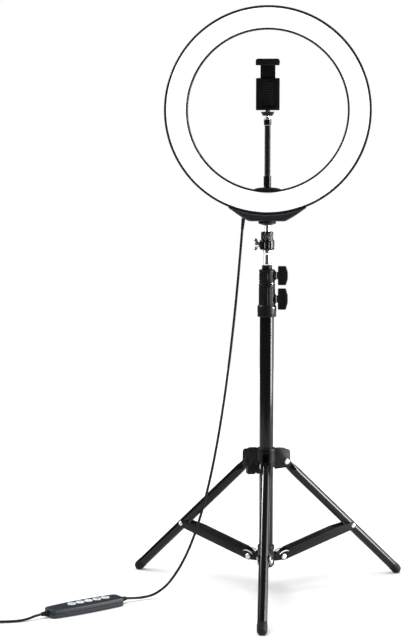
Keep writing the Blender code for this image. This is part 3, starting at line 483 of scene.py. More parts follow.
COIL_AT = Vector((-0.4560, -0.1500, 0.0))
COIL_MID_R, COIL_HALF = 0.0215, 0.0058
COIL_STEPS, COIL_LAST_STEPS = 36, 19         # points in a full turn, and in the last part turn
COIL_START, COIL_SETTLED = 86.0, 0.72        # degrees, and the share of a turn before it moves over
HANDOVERS = (0.505, 0.455, 0.235)            # heights where the cord passes from one body to the next
RELIEF_FOOT, CORD_LANDS = 0.541, 0.030


def smooth_route(points, spacing):
    """Evenly spaced points on a Catmull-Rom curve through the route."""
    spots = [Vector(p) for p in points]
    ends = [spots[0] * 2 - spots[1], *spots, spots[-1] * 2 - spots[-2]]
    fine = []
    for a, b, c, d in zip(ends, ends[1:], ends[2:], ends[3:]):
        for k in range(24):
            t = k / 24
            fine.append(0.5 * (2 * b + (c - a) * t + (2 * a - 5 * b + 4 * c - d) * t * t
                               + (3 * b - a - 3 * c + d) * t ** 3))
    fine.append(spots[-1])
    travelled = [0.0]
    for here, ahead in zip(fine, fine[1:]):
        travelled.append(travelled[-1] + (ahead - here).length)
    count = max(2, round(travelled[-1] / spacing))
    result, at = [], 0
    for k in range(count + 1):
        want = travelled[-1] * k / count
        while at < len(fine) - 2 and travelled[at + 1] < want:
            at += 1
        share = (want - travelled[at]) / max(travelled[at + 1] - travelled[at], 1e-9)
        result.append(fine[at].lerp(fine[at + 1], share))
    return result


def cord_rings(points, radius=CORD_R, sides=14):
    """Rings of a round tube through points, carried along without twist."""
    rings = []
    side = Vector((0.0, 1.0, 0.0))
    for k, spot in enumerate(points):
        ahead = (points[min(k + 1, len(points) - 1)] - points[max(k - 1, 0)]).normalized()
        side = (side - ahead * side.dot(ahead)).normalized()
        up = ahead.cross(side)
        angles = [math.tau * j / sides for j in range(sides)]
        reach = radius[k] if isinstance(radius, list) else radius
        rings.append([spot + (side * math.cos(t) + up * math.sin(t)) * reach for t in angles])
    return rings


def first_below(points, height):
    return next(k for k, spot in enumerate(points) if spot.z < height)


def cords():
    """The cord to the controller, in stretches split at the heights where it passes from one body to the
    next, and the rest of it.
    """
    path = smooth_route(UPPER_ROUTE, 0.004)
    rings = cord_rings(path)
    edges = [0, *[first_below(path, height) for height in HANDOVERS], len(path) - 1]
    relief_end, landed = first_below(path, RELIEF_FOOT), first_below(path, CORD_LANDS)
    for k, (first, last) in enumerate(zip(edges, edges[1:])):
        name = f"cord_upper_{k + 1}"
        stretch = piece(name, loft(rings[first:last + 1]), "cord_rubber", None)
        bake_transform(stretch)
    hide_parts("cord_upper")
    relief = relief_sleeve("gland_relief", path[:relief_end + 1], "ring")

    lower = smooth_route(LOWER_ROUTE[:-1] + COIL_ENTRY, 0.004)
    turns = coil_turns()
    tail = smooth_route([turns[-2], *COIL_EXIT], 0.004)
    line = lower + turns + tail[1:]
    rest = piece("cord_lower", loft(cord_rings(line, sides=12)), "cord_rubber", "stand",
                 replaces=("cord_lower", "cord_coil"))
    coil_tie()
    usb_plug()


def coil_turns():
    """Turns side by side in three layers. The cord enters at the outside of the lowest one."""
    pitch = 2 * CORD_R + 0.00005
    outer, middle, inner = [COIL_MID_R + pitch * step for step in (1, 0, -1)]
    lowest, centre, top = [0.0020 + pitch * step for step in (0, 1, 2)]
    seats = [(outer, lowest), (middle, lowest), (inner, lowest), (inner, centre), (middle, centre),
             (outer, centre), (middle, top), (outer, top), (outer, top)]
    points = []
    for turn, (here, ahead) in enumerate(zip(seats, seats[1:])):
        last = turn == len(seats) - 2
        for k in range(COIL_LAST_STEPS if last else COIL_STEPS):
            share = k / COIL_STEPS
            ease = max(0.0, (share - COIL_SETTLED) / (1 - COIL_SETTLED))
            ease = ease * ease * (3 - 2 * ease)
            radius, height = [a + (b - a) * ease for a, b in zip(here, ahead)]
            angle = math.radians(COIL_START + 360.0 * share)
            points.append(COIL_AT + Vector((radius * math.cos(angle), radius * math.sin(angle), height)))
    return points


def relief_sleeve(name, line, body):
    """A ribbed, tapering sleeve round a cord where it leaves a part."""
    line = smooth_route([tuple(spot) for spot in line], 0.0004)
    count = len(line) - 1
    radius = []
    for k in range(count + 1):
        rib = 0.00022 if (k // 2) % 2 and 3 < k < count - 2 else 0.0
        radius.append(0.0029 - 0.0006 * k / count - rib)
    return piece(name, loft(cord_rings(line, radius, 20)), "rubber", body, smooth=50.0)


def coil_tie():
    """A band closed round the whole bundle."""
    half, high_side, thick, width = COIL_HALF + 0.0003, 2 * COIL_HALF + 0.0006, 0.0007, 0.0045
    outline = rounded([(-half - thick, 0.0, 0.0030), (half + thick, 0.0, 0.0030),
                       (half + thick, high_side, 0.0030), (-half - thick, high_side, 0.0030)], 5)
    inside = rounded([(-half, 0.0001, 0.0026), (half, 0.0001, 0.0026), (half, high_side - thick, 0.0026),
                      (-half, high_side - thick, 0.0026)], 5)
    rings = []
    for y, lines in ((-width, outline), (width, outline), (width, inside), (-width, inside)):
        rings.append([(x, y, z) for x, z in lines])
    at = Matrix.Translation(COIL_AT) @ spin(20, "Z") @ shift(x=-COIL_MID_R)
    return piece("coil_tie", loft(rings, closed=True), "rubber", "stand", at)


def usb_plug():
    """A moulded grip, a metal shell with two windows, its tongue, and a sleeve where the cord enters."""
    box_low, box_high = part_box("usb_plug")
    middle = (box_low + box_high) / 2
    at = Matrix.Translation((box_low.x, middle.y, middle.z))
    grip = prism(rounded([(0.0195, -0.0077, 0.0012), (0.0370, -0.0077, 0.0045), (0.0385, -0.0050, 0.0020),
                          (0.0385, 0.0050, 0.0020), (0.0370, 0.0077, 0.0045), (0.0195, 0.0077, 0.0012)]),
                 0.0039, 0.0009)
    grip.transform(spin(90, "X"))
    dents = [block((0.0235 + 0.0022 * k, -0.0045, side * 0.0045),
                   (0.0246 + 0.0022 * k, 0.0045, side * 0.0034))
             for k in range(5) for side in (-1, 1)]
    body = piece("plug_grip", built(grip, (), dents), "rubber", "stand", at, replaces="usb_plug")
    shell = built(block((0.0002, -0.0060, -0.00225), (0.0200, 0.0060, 0.00225), 0.0003),
                  (), [block((-0.001, -0.0057, -0.00195), (0.0190, 0.0057, 0.00195)),
                       block((0.0060, 0.0016, 0.0010), (0.0085, 0.0041, 0.0030)),
                       block((0.0060, -0.0041, 0.0010), (0.0085, -0.0016, 0.0030))])
    metal = piece("plug_shell", shell, "steel", "stand", at)
    tongue = piece("plug_tongue", block((0.0010, -0.0055, -0.0017), (0.0192, 0.0055, 0.0001)), "plastic",
                   "stand", at)
    sleeve = [Vector((0.0384 + 0.0004 * k, 0.0, 0.0)) for k in range(14)]
    radius = [0.0030 - 0.00006 * k - (0.00022 if (k // 2) % 2 else 0.0) for k in range(14)]
    relief = piece("plug_relief", loft(cord_rings(sleeve, radius, 20)), "rubber", "stand", at, smooth=50.0)
    return [body, metal, tongue, relief]


# ---------------------------------------------------------------- stand column
def tube_piece(node, wall, body):
    radius, bottom, top = half_width(node), low(node).z, high(node).z
    edge = 0.0005
    profile = [(radius - wall, bottom), *arc_points((radius - edge, bottom + edge), edge, -90, 0, 3),
               *arc_points((radius - edge, top - edge), edge, 0, 90, 3), (radius - wall, top)]
    piece(node, turned(profile, 96, closed=True), "lacquer", body, ON_COLUMN)


def column():
    tube_piece("main_tube", 0.0010, "stand")
    tube_piece("middle_tube", 0.0010, "middle")
    tube_piece("top_tube", 0.0010, "top")
    lock_collar("lower_lock_collar", "main_tube", "middle_tube", "lower_knob_turn", "stand", 0.0120, 0.4275)
    lock_collar("upper_lock_collar", "middle_tube", "top_tube", "upper_knob_turn", "middle", 0.0115)
    lock_knob("lower_lock_knob", "lower_knob_turn", "lower_knob")
    lock_knob("upper_lock_knob", "upper_knob_turn", "upper_knob")


def lock_collar(node, outer_tube, inner_tube, knob, body, radius, foot_top=None):
    """A ribbed sleeve on a tube's end, with a boss for its knob, a wide foot and a small screw.

    The foot reaches up to foot_top. Without one it is only a band.
    """
    bottom, top, wide = low(node).z, high(node).z, half_width(node, 1)
    lip, mouth = half_width(outer_tube) + GAP, half_width(inner_tube) + 0.00035
    tube_end = high(outer_tube).z + GAP
    edge, groove = 0.0010, 0.0006
    band = 0.0034
    foot = [*arc_points((wide - edge, bottom + edge), edge, -90, 0, 4), (wide, bottom + band),
            (wide - groove, bottom + band + 0.0004), (wide - groove, bottom + band + 0.0011),
            (wide, bottom + band + 0.0015)]
    rib_start = bottom + band + 0.0013
    if foot_top:
        foot += [(wide, foot_top - 0.0024), (wide - 0.0003, foot_top - 0.0018), (radius + 0.0002, foot_top),
                 (radius, foot_top + 0.0004)]
        rib_start = foot_top + 0.0003
    outside = [*foot, (radius, top - band - 0.0015),
               (radius - groove, top - band - 0.0011), (radius - groove, top - band - 0.0004),
               (radius, top - band), *arc_points((radius - edge, top - edge), edge, 0, 90, 4)]
    inside = [(mouth, top), (mouth, tube_end), (lip, tube_end), (lip, bottom)]
    ribs = (rib_start, top - band - 0.0013)

    def ripple(angle, height, reach):
        if not radius - 0.0001 < reach < radius + 0.0001 or not ribs[0] < height < ribs[1]:
            return 0.0
        return -0.0006 * max(0.0, math.cos(18 * angle)) ** 2

    sleeve = turned(outside + inside, 192, closed=True, ripple=ripple)
    across = shift(z=pivot(knob).z) @ spin(90, "Y")
    boss = moved(disc(0.0062, lip + 0.0006, 0.0138, 48, 0.0008), across)
    plate = moved(disc(0.0078, lip + 0.0006, radius + 0.0006, 48, 0.0005), across)
    piece(node, together(sleeve, boss, plate), "plastic", body, ON_COLUMN)
    spot = shift(z=(foot_top or bottom + 0.0052) - 0.0042) @ spin(-42, "Z") @ shift(x=wide - 0.0006)
    screw_head(f"{body}_collar_screw", 0.0014, body, ON_COLUMN @ spot @ spin(90, "Y"))


def screw_head(name, radius, body, at, finish="steel"):
    """A low domed screw with a cross recess, facing +Z."""
    dome = turned([(0.0, -0.0008), (radius, -0.0008),
                   *arc_points((radius * 0.7, 0.0002), radius * 0.3, 0, 80, 4),
                   (0.0, radius * 0.42)], 40)
    bar = radius * 0.24
    cuts = [block((-radius * 0.62, -bar / 2, 0.0002), (radius * 0.62, bar / 2, 0.004)),
            block((-bar / 2, -radius * 0.62, 0.0002), (bar / 2, radius * 0.62, 0.004))]
    return piece(name, built(dome, (), cuts), finish, body, at)


def lock_knob(node, joint, body):
    """A flat moulded head with a ridged hollow in each face, on a round neck."""
    flat, crown = 0.0160, high(node).x
    half, thick = half_width(node, 2), half_width(node, 1)
    side = crown - 0.0028

    def outline(inset):
        h = half - inset
        return rounded([
            (flat + inset, -h, 0.0014), (side - inset, -h, 0.0020), (crown - inset, -h * 0.35, 0.0100),
            (crown - inset, h * 0.35, 0.0100), (side - inset, h, 0.0020), (flat + inset, h, 0.0014),
        ], 8)

    head = prism(outline(0.0), thick, 0.0013, 4)
    hollows = [moved(prism(outline(0.0030), 0.0012), shift(y=side * (thick + 0.0003))) for side in (-1, 1)]
    head = built(head, (), hollows)
    ridges = []
    count = 5
    for k in range(count):
        z = (half - 0.0062) * (2 * k / (count - 1) - 1)
        for y in (-1, 1):
            low_y, high_y = sorted((y * (thick - 0.0012), y * (thick - 0.0003)))
            ridges.append(block((flat + 0.0044, low_y, z - 0.0007), (crown - 0.0046, high_y, z + 0.0007),
                                0.0003, 2))
    neck = moved(turned([(0.0, 0.0142), (0.0053, 0.0142), (0.0055, 0.0145), (0.0055, 0.0200),
                         (0.0, 0.0200)], 64),
                 spin(90, "Y"))
    piece(node, together(head, neck, *ridges), "plastic", body, Matrix.Translation(pivot(joint)))


# ---------------------------------------------------------------- folding tripod
LEG_PIVOT = Vector((0.0310, 0.1930))
BRACE_PIVOT = Vector((0.0260, 0.0500))
FOOT_REACH, SOLE_DROP, FOOT_LENGTH = 0.2298, 0.0062, 0.010
BRACE_JOIN_REACH = 0.1465
LEG_R, FOOT_R, TAB_HALF = 0.0071, 0.0074, 0.0040
CHANNEL_INNER, CHANNEL_OUTER = 0.00765, 0.00865
WEB_IN, WEB_OUT = 0.0078, 0.0088
LEG_KNOB_AZIMUTH = 198.0


def leg_geometry():
    """The leg's direction at rest, its length to the foot's centre, and where its brace meets it."""
    end = Vector((FOOT_REACH, SOLE_DROP))
    along = (end - LEG_PIVOT).normalized()
    join = LEG_PIVOT + along * ((BRACE_JOIN_REACH - LEG_PIVOT.x) / along.x)
    return along, (end - LEG_PIVOT).length, join


def in_plane(direction):
    """Turn +X to a direction in the leg's upright plane."""
    return spin(-math.degrees(math.atan2(direction.y, direction.x)), "Y")


def leg_place(azimuth, spot):
    return Matrix.Translation(around(azimuth, spot[0], spot[1])) @ spin(azimuth, "Z")


def leg_mesh():
    """A round tube, pressed flat at its top end, measured from its pivot."""
    along, length, _ = leg_geometry()
    end, tip = length - FOOT_LENGTH, 0.0062
    stations = [(-tip * math.cos(math.radians(t)), tip * math.sin(math.radians(t)), 0.0)
                for t in range(6, 91, 12)]
    stations += [(0.004, tip, 0.0), (0.0095, tip, 0.0)]
    stations += [(0.0095 + 0.0135 * k / 8, tip, k / 8) for k in range(1, 9)]
    stations += [(0.03 + (end - 0.0306) * k / 12, LEG_R, 1.0) for k in range(13)]
    stations += [(end, LEG_R - 0.0006, 1.0)]
    rings = []
    for s, tall, share in stations:
        share = share * share * (3 - 2 * share)
        half_y = TAB_HALF + (LEG_R - TAB_HALF) * share
        half_z = tall + (LEG_R - tall) * share
        if s == end:
            half_y = half_z = tall
        power = 0.42 + 0.58 * share
        ring = []
        for k in range(64):
            t = math.tau * k / 64
            c, d = math.cos(t), math.sin(t)
            ring.append((s, half_y * math.copysign(abs(c) ** power, c),
                         half_z * math.copysign(abs(d) ** power, d)))
        rings.append(ring)
    return moved(loft(rings), in_plane(along))


def foot_mesh():
    """A ringed rubber cap with a round end, cut flat where it meets the floor."""
    along, length, _ = leg_geometry()
    start = length - FOOT_LENGTH + GAP
    edge = 0.0009
    profile = [(0.0, start), (FOOT_R - edge, start),
               *arc_points((FOOT_R - edge, start + edge), edge, -90, 0, 4)]
    for k in range(3):
        z = start + 0.0022 + 0.0026 * k
        profile += [(FOOT_R, z), (FOOT_R - 0.0005, z + 0.0003), (FOOT_R - 0.0005, z + 0.0009),
                    (FOOT_R, z + 0.0012)]
    profile += arc_points((0.0, length), FOOT_R, 0, 90, 16)
    cap = moved(turned(profile, 72), in_plane(along) @ spin(90, "Y"))
    floor = block((0.0, -0.05, -LEG_PIVOT.y - 0.05), (0.4, 0.05, -LEG_PIVOT.y))
    return built(cap, (), [floor])


def brace_mesh():
    """A pressed U channel, open below, with a bead along its web, measured from its lower pivot."""
    _, _, join = leg_geometry()
    line = join - BRACE_PIVOT
    length, end = line.length, 0.0055
    side = [*arc_points((0.0, 0.0), end, -90, -270, 12), (0.0100, WEB_OUT - 0.0002), (0.0110, WEB_OUT),
            (0.0950, WEB_OUT), (0.0960, WEB_OUT - 0.0002), *arc_points((length, 0.0), end, 90, -90, 12)]
    solid = prism(side, CHANNEL_OUTER, 0.0008, 3)
    far = 0.030
    hollow = prism([
        (-far, -far), (length + far, -far), (length + far, far), (0.096, far), (0.096, WEB_IN),
        (0.010, WEB_IN), (0.010, far), (-far, far),
    ], CHANNEL_INNER)
    sheet = built(solid, (), [hollow])
    rings = []
    for x, size in ((0.0160, 0.1), (0.0168, 0.7), (0.0180, 1.0), (0.0880, 1.0), (0.0892, 0.7),
                    (0.0900, 0.1)):
        arc = arc_points((0.0, 0.0), 1.0, 0, 180, 10)
        rings.append([(x, 0.0024 * size * c, WEB_OUT - 0.0001 + 0.0008 * size * s) for c, s in arc])
    return moved(together(sheet, loft(rings)), in_plane(line.normalized()))


def rivet(half, head_r=0.0040, head=0.0013, dimple=0.0013, tail=1.0):
    """A rivet across the leg's plane, with a low domed head and a dimple on each side.

    tail scales the far head.
    """
    upper = [(head_r, half), (head_r, half + head * 0.25), (head_r * 0.92, half + head * 0.5),
             (head_r * 0.72, half + head * 0.85), (head_r * 0.5, half + head), (dimple, half + head),
             (dimple * 0.8, half + head * 0.45), (0.0, half + head * 0.35)]
    lower = [(radius * tail, -half - (height - half) * tail) for radius, height in reversed(upper)]
    return moved(turned(lower + [(0.0020, -half), (0.0020, half)] + upper, 48), spin(90, "X"))


def curl_mesh():
    """A bright hoop on each side of a brace, above its lower pivot."""
    hoops = []
    centre_x, centre_z = 0.0018, 0.0035
    for side in (-1, 1):
        near, far = side * (CHANNEL_INNER + 0.0001), side * (CHANNEL_OUTER + 0.0006)
        rings = []
        for t in range(20, 151, 10):
            c, s = math.cos(math.radians(t)), math.sin(math.radians(t))
            outer = (centre_x + 0.0090 * c, centre_z + 0.0054 * s)
            inner = (centre_x + 0.0086 * c, centre_z + 0.0039 * s)
            rings.append([(outer[0], near, outer[1]), (outer[0], far, outer[1]),
                          (inner[0], far, inner[1]), (inner[0], near, inner[1])])
        hoops.append(loft(rings))
    return together(*hoops)


def tripod():
    _, _, join = leg_geometry()
    leg, foot, brace = leg_mesh(), foot_mesh(), brace_mesh()
    leg_pin, lower_pin = rivet(0.0076, tail=0.62), rivet(0.00895)
    cap = moved(turned([(0.0, -0.0090), (0.0018, -0.0090), (0.0030, -0.0088), (0.0036, -0.0085),
                        (0.0042, -0.0080), (0.0042, -0.0074), (0.0, -0.0074)], 40), spin(90, "X"))
    join_pin = rivet(0.0088, 0.0033, 0.0011, 0.0010)
    line = (join - BRACE_PIVOT).normalized()
    for side, azimuth in LEGS.items():
        at_leg, at_brace = leg_place(azimuth, LEG_PIVOT), leg_place(azimuth, BRACE_PIVOT)
        piece(f"{side}_leg", leg, "lacquer", f"{side}_leg", at_leg)
        piece(f"{side}_foot", foot, "rubber", f"{side}_leg", at_leg)
        piece(f"{side}_brace", brace, "sheet_steel", f"{side}_brace", at_brace)
        piece(f"{side}_leg_rivet", leg_pin, "steel", "leg_collar", at_leg, replaces=f"{side}_leg_pivot_pin")
        piece(f"{side}_brace_rivet", lower_pin, "steel", "stand", at_brace,
              replaces=f"{side}_brace_pivot_pin")
        piece(f"{side}_join_rivet", join_pin, "steel", f"{side}_brace", leg_place(azimuth, join),
              replaces=f"{side}_brace_leg_pin")
        piece(f"{side}_rivet_cap", cap, "plastic", "leg_collar", at_leg)
        piece(f"{side}_curl", curl_mesh(), "steel", f"{side}_brace", at_brace @ in_plane(line))
    leg_collar()
    spreader_collar()


def collar_profile(radius, bore, bottom, top):
    """A sleeve with rounded edges and two shallow grooves."""
    edge, groove = 0.0012, 0.0005
    outside = arc_points((radius - edge, bottom + edge), edge, -90, 0, 5)
    for z in (bottom + 0.0052, top - 0.0066):
        outside += [(radius, z), (radius - groove, z + 0.0004), (radius - groove, z + 0.0010),
                    (radius, z + 0.0014)]
    outside += arc_points((radius - edge, top - edge), edge, 0, 90, 5)
    return outside + [(bore, top), (bore, bottom)]


def leg_collar():
    """The sliding collar that carries the legs, with a pair of cheeks for each, and its knob."""
    bottom, top = 0.1880, high("leg_collar").z
    bore = half_width("main_tube") + 0.00035
    sleeve = turned(collar_profile(0.0135, bore, bottom, top), 96, closed=True)
    reach, height = LEG_PIVOT
    root = 0.0110
    top -= 0.0026
    outline = rounded([
        (root, height - 0.0095, 0.0), (reach + 0.0062, height - 0.0085, 0.0055),
        (reach + 0.0058, top - 0.0018, 0.0050), (reach - 0.0080, top, 0.0200), (root, top - 0.0012, 0.0),
    ], 8)
    shells = [sleeve]
    for azimuth in LEGS.values():
        for side in (-0.0058, 0.0058):
            shells.append(moved(prism(outline, 0.0015, 0.0006, 2), spin(azimuth, "Z") @ shift(y=side)))
            ring = turned([(0.0042, -0.00035), (0.0056, -0.00035), (0.0056, 0.00035), (0.0042, 0.00035)],
                          40, True)
            out = math.copysign(0.0073, side)
            shells.append(moved(ring, spin(azimuth, "Z") @ shift(reach, out, height) @ spin(90, "X")))
        bridge = block((0.0118, -0.0050, top - 0.0050), (0.0185, 0.0050, top - 0.0022), 0.0008)
        shells.append(moved(bridge, spin(azimuth, "Z")))
    knob_z = pivot("leg_knob_turn").z
    lug = block((0.0104, -0.0060, knob_z - 0.0058), (0.0160, 0.0060, bottom + 0.0060), 0.0010, 4)
    hollow = disc(bore, knob_z - 0.02, bottom + 0.002, 96)
    shells.append(moved(built(lug, (), [hollow]), spin(LEG_KNOB_AZIMUTH, "Z")))
    piece("leg_collar", together(*shells), "plastic", "leg_collar", ON_COLUMN)
    head = block((0.0178, -0.0066, -0.0060), (0.0298, 0.0066, 0.0060), 0.0018, 4)
    grips = [block((0.0200 + 0.0022 * k, -0.0069, -0.0044), (0.0209 + 0.0022 * k, 0.0069, 0.0044))
             for k in range(4)]
    core = block((0.0170, -0.0061, -0.0070), (0.0310, 0.0061, 0.0070))
    head = built(head, (), [built(grip, (), [core.copy()]) for grip in grips])
    neck = moved(disc(0.0048, 0.0163, 0.0185, 40), spin(90, "Y"))
    place = Matrix.Translation(pivot("leg_knob_turn")) @ spin(LEG_KNOB_AZIMUTH, "Z")
    piece("leg_collar_knob", together(head, neck), "plastic", "leg_knob", place)


def spreader_collar():
    """The fixed collar at the column's foot, with an ear for each brace and a set screw."""
    bottom, top = low("spreader_collar").z, high("spreader_collar").z
    bore = half_width("main_tube") + GAP
    shells = [turned(collar_profile(0.0125, bore, bottom, top), 96, closed=True)]
    reach, height = BRACE_PIVOT
    ear_r = 0.0052
    tip = arc_points((reach, height), ear_r, -90, 90, 12)
    outline = [(0.0105, height - ear_r), *tip, (0.0105, height + ear_r)]
    rib = [(0.0112, height + ear_r - 0.001), (0.0200, height + ear_r - 0.001), (0.0112, height + 0.0125)]
    for azimuth in LEGS.values():
        shells.append(moved(prism(outline, CHANNEL_INNER - 0.0004, 0.0007, 3), spin(azimuth, "Z")))
        shells.append(moved(prism(rib, 0.0014, 0.0004, 2), spin(azimuth, "Z")))
    piece("spreader_collar", together(*shells), "plastic", "stand", ON_COLUMN)
    spot = shift(z=0.0612) @ spin(-14, "Z") @ shift(x=0.0119) @ spin(90, "Y")
    screw_head("spreader_screw", 0.0019, "stand", ON_COLUMN @ spot)


# ---------------------------------------------------------------- ball head
def ball_head():
    at = ON_COLUMN
    bottom, top = low("spigot_seat").z, high("spigot_seat").z
    seat = [(0.0, bottom), (0.0068, bottom), (0.0075, bottom + 0.0007), (0.0075, bottom + 0.0020),
            (0.0071, bottom + 0.0023), (0.0071, bottom + 0.0028), (0.0075, bottom + 0.0031),
            (0.0075, top - 0.0010), (0.0072, top - 0.0004), (0.0065, top), (0.0, top)]
    piece("spigot_seat", turned(seat, 72), "plastic", "top", at)
    bottom, top = low("spigot").z, high("spigot").z
    spigot = [(0.0, bottom), (0.0056, bottom), (0.0058, bottom + 0.0003), (0.0058, bottom + 0.0032),
              (0.0056, bottom + 0.0037), (0.0050, bottom + 0.0050), (0.0049, bottom + 0.0060),
              (0.0049, top - 0.0070), (0.0050, top - 0.0060), (0.0056, top - 0.0048), (0.0056, top - 0.0030),
              (0.0053, top - 0.0027), (0.0053, top - 0.0022), (0.0056, top - 0.0019), (0.0056, top - 0.0006),
              (0.0052, top - 0.0001), (0.0, top)]
    piece("spigot", turned(spigot, 72), "chrome", "top", at)

    bottom, top = low("ball_head_base").z, high("ball_head_base").z
    socket, radius = 0.00785, 0.01065
    stop = math.degrees(math.asin((top - BALL_Z) / socket))
    bowl = arc_points((0.0, BALL_Z), socket, stop, -90, 14)
    housing = [(0.0, bottom), (radius - 0.0014, bottom), (radius - 0.0004, bottom + 0.0004),
               (radius, bottom + 0.0013), (radius, bottom + 0.0022), (radius - 0.0007, bottom + 0.0027),
               (radius - 0.0007, bottom + 0.0034), (radius, bottom + 0.0039), (radius, top - 0.0012),
               (radius - 0.0005, top - 0.0003), (radius - 0.0013, top), *bowl]
    cup = turned(housing, 96)
    wing_z = pivot("wing_turn").z
    boss = moved(disc(0.0042, 0.0080, 0.0118, 48, 0.0005), shift(z=wing_z) @ spin(-90, "Y"))
    plate = moved(disc(0.0056, 0.0080, 0.0108, 48, 0.0004), shift(z=wing_z) @ spin(-90, "Y"))
    piece("ball_head_base", together(cup, boss, plate), "lacquer", "top", at)

    bottom, top = low("ball_head_cap").z, high("ball_head_cap").z
    start = math.degrees(math.asin((bottom - BALL_Z) / socket))
    stop = math.degrees(math.asin(0.0036 / socket))
    radius = 0.0089

    def knurl(angle, height, reach):
        if reach < radius - 0.0001 or not bottom + 0.0020 < height < top - 0.0025:
            return 0.0
        return -0.00030 * max(0.0, math.cos(36 * angle)) ** 2

    cap = [(radius - 0.0006, bottom), (radius, bottom + 0.0006), (radius, bottom + 0.0018),
           (radius, bottom + 0.0022), (radius, top - 0.0027), (radius, top - 0.0023), (radius, top - 0.0012),
           (radius - 0.0004, top - 0.0004), (radius - 0.0010, top), (0.0077, top),
           *arc_points((0.0, BALL_Z), socket, stop, start, 10)]
    piece("ball_head_cap", turned(cap, 216, True, knurl), "lacquer", "top", at)

    centre = Matrix.Translation(pivot("head_pan"))
    ball = arc_points((0.0, 0.0), 0.0075, -90, 90, 32)
    piece("ball", turned(ball, 64), "chrome", "ball", centre)
    flange = low("mount_platform").z - BALL_Z - GAP
    screw_top = high("ball_stud").z - BALL_Z
    stud = [(0.0, 0.0078), (0.0034, 0.0078), (0.0034, flange - 0.0022), (0.0031, flange - 0.0018),
            (0.0031, flange - 0.0013), (0.0034, flange - 0.0009), (0.0034, flange), (0.0030, flange)]
    stud += [(0.0030 - 0.00025 * (k % 2), flange + 0.0004 + 0.00035 * k) for k in range(30)]
    stud += [(0.0025, screw_top), (0.0, screw_top)]
    piece("ball_stud", turned(stud, 48), "chrome", "ring", centre)
    low_z, high_z = low("mount_platform").z - BALL_Z, high("mount_platform").z - BALL_Z
    radius = half_width("mount_platform")
    pad = high_z - 0.0012
    dish = [(0.0038, low_z), (0.0068, low_z + 0.0008), (radius - 0.0035, low_z + 0.0018),
            (radius - 0.0012, low_z + 0.0025), (radius - 0.0002, low_z + 0.0031), (radius, low_z + 0.0036),
            (radius, pad - 0.0003), (radius - 0.0003, pad), (0.0034, pad), (0.0034, low_z)]

    def grip(angle, height, reach):
        if reach < radius - 0.0004 or height > pad - 0.0001:
            return 0.0
        return -0.00035 * max(0.0, math.cos(30 * angle)) ** 2

    piece("mount_platform", turned(dish, 180, True, grip), "plastic", "ring", centre)
    washer = [(0.0036, pad), (radius - 0.0009, pad), (radius - 0.0005, pad + 0.0003),
              (radius - 0.0005, high_z - 0.0003), (radius - 0.0009, high_z), (0.0036, high_z)]
    piece("mount_pad", turned(washer, 96, True), "rubber", "ring", centre)

    lower = [(-0.0022, -0.0040, 0.0012), (-0.0048, -0.0088, 0.0024), (0.0010, -0.0092, 0.0020),
             (0.0030, -0.0040, 0.0015)]
    upper = [(x, -z, r) for x, z, r in reversed(lower)]
    wing = prism(rounded(lower + upper, 8), 0.0016, 0.0011, 4)
    hub = moved(turned([(0.0, 0.0121), (0.0036, 0.0121), (0.0040, 0.0125), (0.0040, 0.0172),
                        (0.0034, 0.0181), (0.0022, 0.0185), (0.0, 0.0185)], 64), spin(-90, "Y"))
    wings = moved(wing, shift(x=-0.0160))
    shank = moved(disc(0.0016, 0.0108, 0.0130, 32), spin(-90, "Y"))
    piece("wing_screw", together(hub, wings, shank), "chrome", "wing",
          Matrix.Translation(pivot("wing_turn")), smooth=45.0)


# ---------------------------------------------------------------- ring light
def ring_turned(profile, sides=180, closed=True):
    """A (radius, y) profile, turned about the ring's axis along Y."""
    return moved(turned([(radius, -y) for radius, y in profile], sides, closed), spin(90, "X"))


